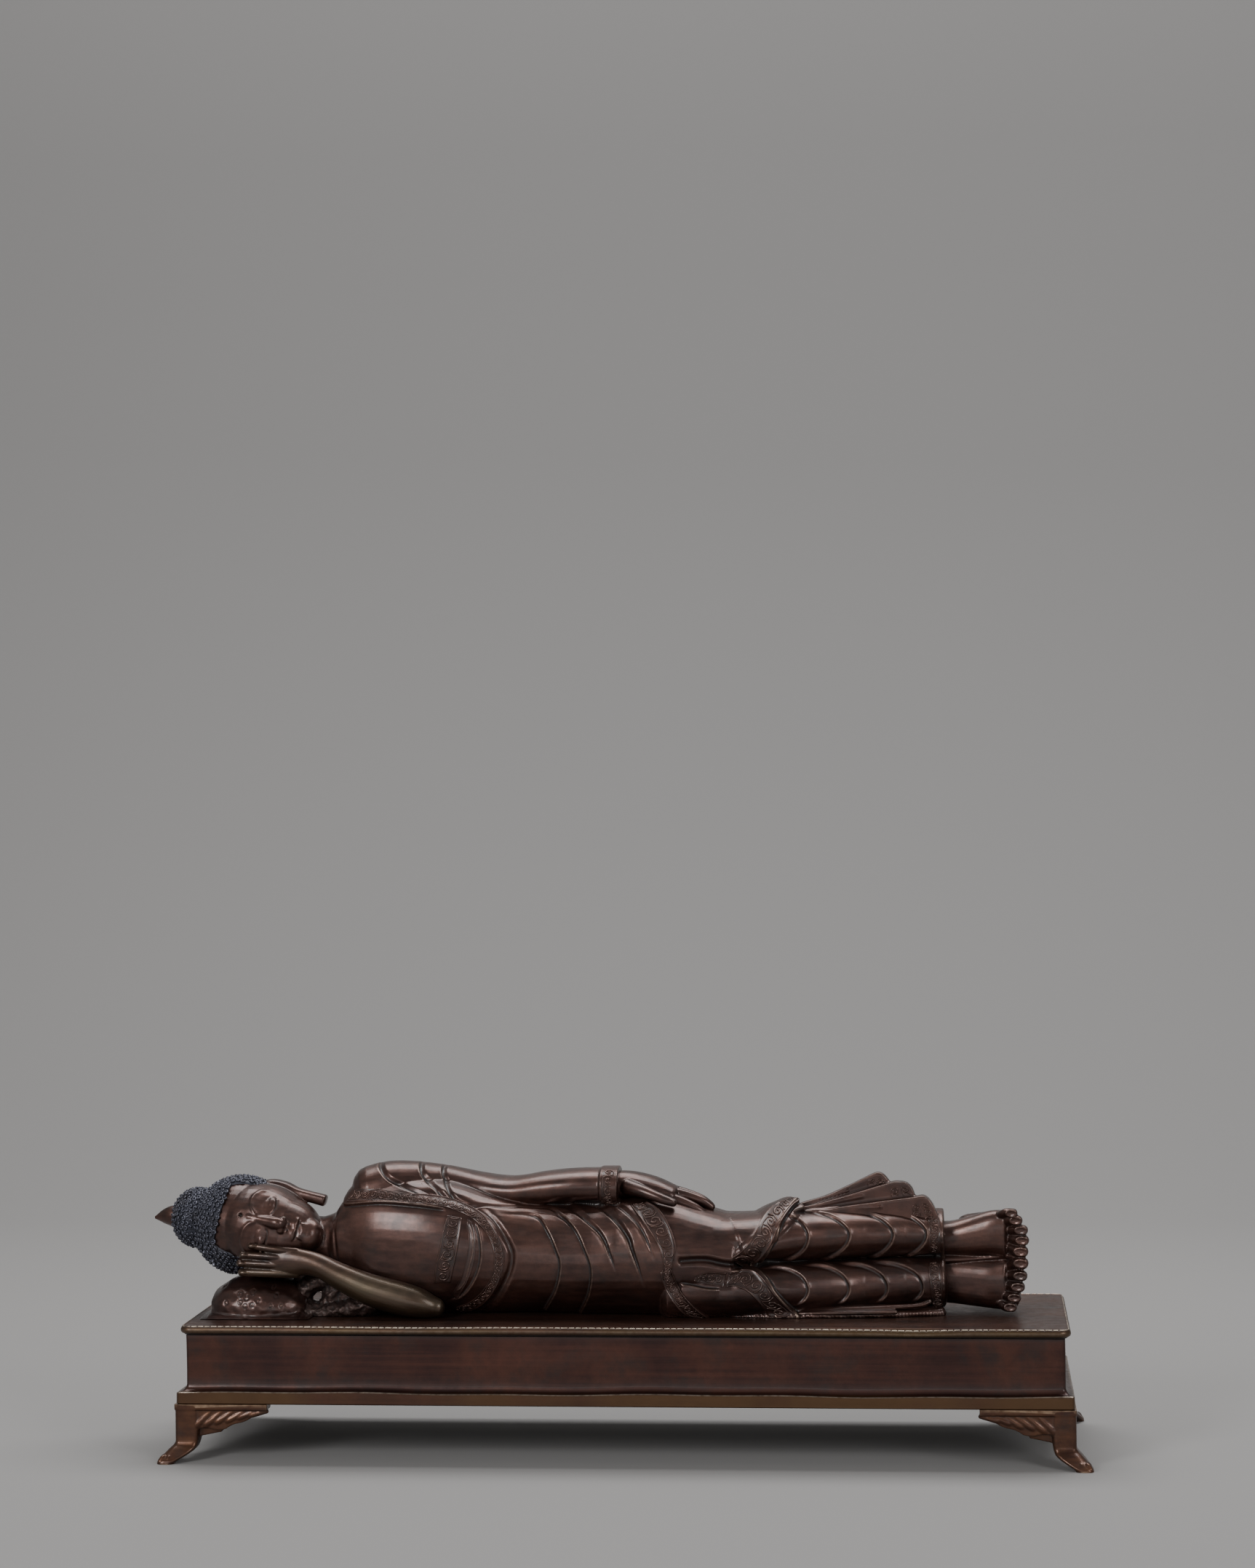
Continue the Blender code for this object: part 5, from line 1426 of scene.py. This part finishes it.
write(web, places + normals * lump[:, None])
measure_relief(web, 8, 1.5)
show_figure("casting_web", above_deck(thinned(web, 20000)), dark_web)


# Hem strips on the deck
# Two narrow edges of the skirt lie along the deck in front of the shins, over a low fillet of metal that
# joins them to the leg. They are a little rubbed on top.
bm = bmesh.new()
limb(
    bm,
    (
        (90, -20, 0.6, 2.4, 1.4), (98, -23.5, 2.0, 2.4, 1.4), (122, -25, 2.6, 2.2, 1.3),
        (146, -24, 2.9, 1.8, 1.2)
    ),
    sides=16, steps=6
)
limb(
    bm,
    (
        (96, -20, 2.2, 3.6, 2.2), (120, -22, 4.2, 3.2, 1.8), (143, -20.5, 5.0, 2.6, 1.5),
        (158, -18.5, 5.8, 2.2, 1.4), (164, -17, 7.6, 2.0, 1.4)
    ),
    sides=16, steps=6
)
limb(bm, ((120, -17, 0.5, 6, 3.4), (146, -15, 0.6, 5, 2.8), (163, -12, 0.4, 5, 2.6)), sides=20, steps=5)
strips = fused(bm, 0.45, 2)
measure_relief(strips, 16, 1.3)
show_figure("hem_strips", above_deck(thinned(strips, 14000)))


# Studio
# A pale floor sweeps up into a grey wall. A wide soft light hangs above and behind, three softer ones stand
# in front and one is turned to the wall. The camera looks level from above the bed, a little to the right.
CAMERA = (BED_X + 0.1827, -1.7894, 0.3611)
YAW = -0.1007
ROLL = -0.0121
LENS = 75.14
SWEEP_START = 0.9
SWEEP_RADIUS = 1.1


def make_sweep():
    side = [(-3.0, 0.0), (SWEEP_START, 0.0)]
    for angle in np.linspace(0.1, math.pi / 2, 12):
        y = SWEEP_START + SWEEP_RADIUS * math.sin(angle)
        side.append((y, SWEEP_RADIUS - SWEEP_RADIUS * math.cos(angle)))
    side.append((2.0, 4.0))
    bm = bmesh.new()
    rows = []
    for y, z in side:
        rows.append([bm.verts.new((x, y, z)) for x in (-4.0, 4.0)])
    for low, high in zip(rows, rows[1:]):
        bm.faces.new((low[0], low[1], high[1], high[0]))
    mesh = mesh_of(bm)
    mesh.shade_smooth()
    mat = bpy.data.materials.new("studio_grey")
    mat.use_nodes = True
    shader = mat.node_tree.nodes["Principled BSDF"]
    shader.inputs["Base Color"].default_value = (0.275, 0.269, 0.266, 1.0)
    shader.inputs["Roughness"].default_value = 0.75
    mesh.materials.append(mat)
    sweep = bpy.data.objects.new("studio_sweep", mesh)
    bpy.context.scene.collection.objects.link(sweep)
    return sweep


make_sweep()


def soft_light(name, place, target, size, power):
    data = bpy.data.lights.new(name, "AREA")
    data.shape = "RECTANGLE"
    data.size, data.size_y = size
    data.energy = power
    obj = bpy.data.objects.new(name, data)
    bpy.context.scene.collection.objects.link(obj)
    obj.location = place
    obj.rotation_euler = (Vector(target) - Vector(place)).to_track_quat("-Z", "Y").to_euler()


soft_light("top", (BED_X + 0.05, 0.50, 1.30), (BED_X, 0.0, 0.05), (1.5, 0.5), 14.0)
soft_light("front_left", (BED_X - 1.0, -1.5, 0.9), (BED_X, 0.0, 0.08), (0.5, 0.7), 16.0)
soft_light("front_right", (BED_X + 1.3, -1.3, 0.9), (BED_X, 0.0, 0.08), (0.6, 0.8), 10.0)
soft_light("low_front", (BED_X + 0.1, -2.0, 0.22), (BED_X, 0.0, 0.09), (1.7, 0.35), 3.0)
soft_light("wall", (BED_X, 0.4, 2.7), (BED_X, 2.0, 1.5), (3.0, 0.5), 44.0)
world = bpy.data.worlds.new("studio")
world.use_nodes = True
background = world.node_tree.nodes["Background"]
background.inputs["Color"].default_value = (0.56, 0.55, 0.54, 1.0)
background.inputs["Strength"].default_value = 0.48
bpy.context.scene.world = world

forward = Vector((math.sin(YAW), math.cos(YAW), 0.0))
level = Vector((math.cos(YAW), -math.sin(YAW), 0.0))
right = level * math.cos(ROLL) + Vector((0, 0, 1)) * math.sin(ROLL)
above = right.cross(forward)
lens = bpy.data.cameras.new("camera")
lens.lens = LENS
lens.sensor_width = 36.0
camera = bpy.data.objects.new("camera", lens)
bpy.context.scene.collection.objects.link(camera)
camera.matrix_world = Matrix.Translation(CAMERA) @ Matrix((right, above, -forward)).transposed().to_4x4()
bpy.context.scene.camera = camera
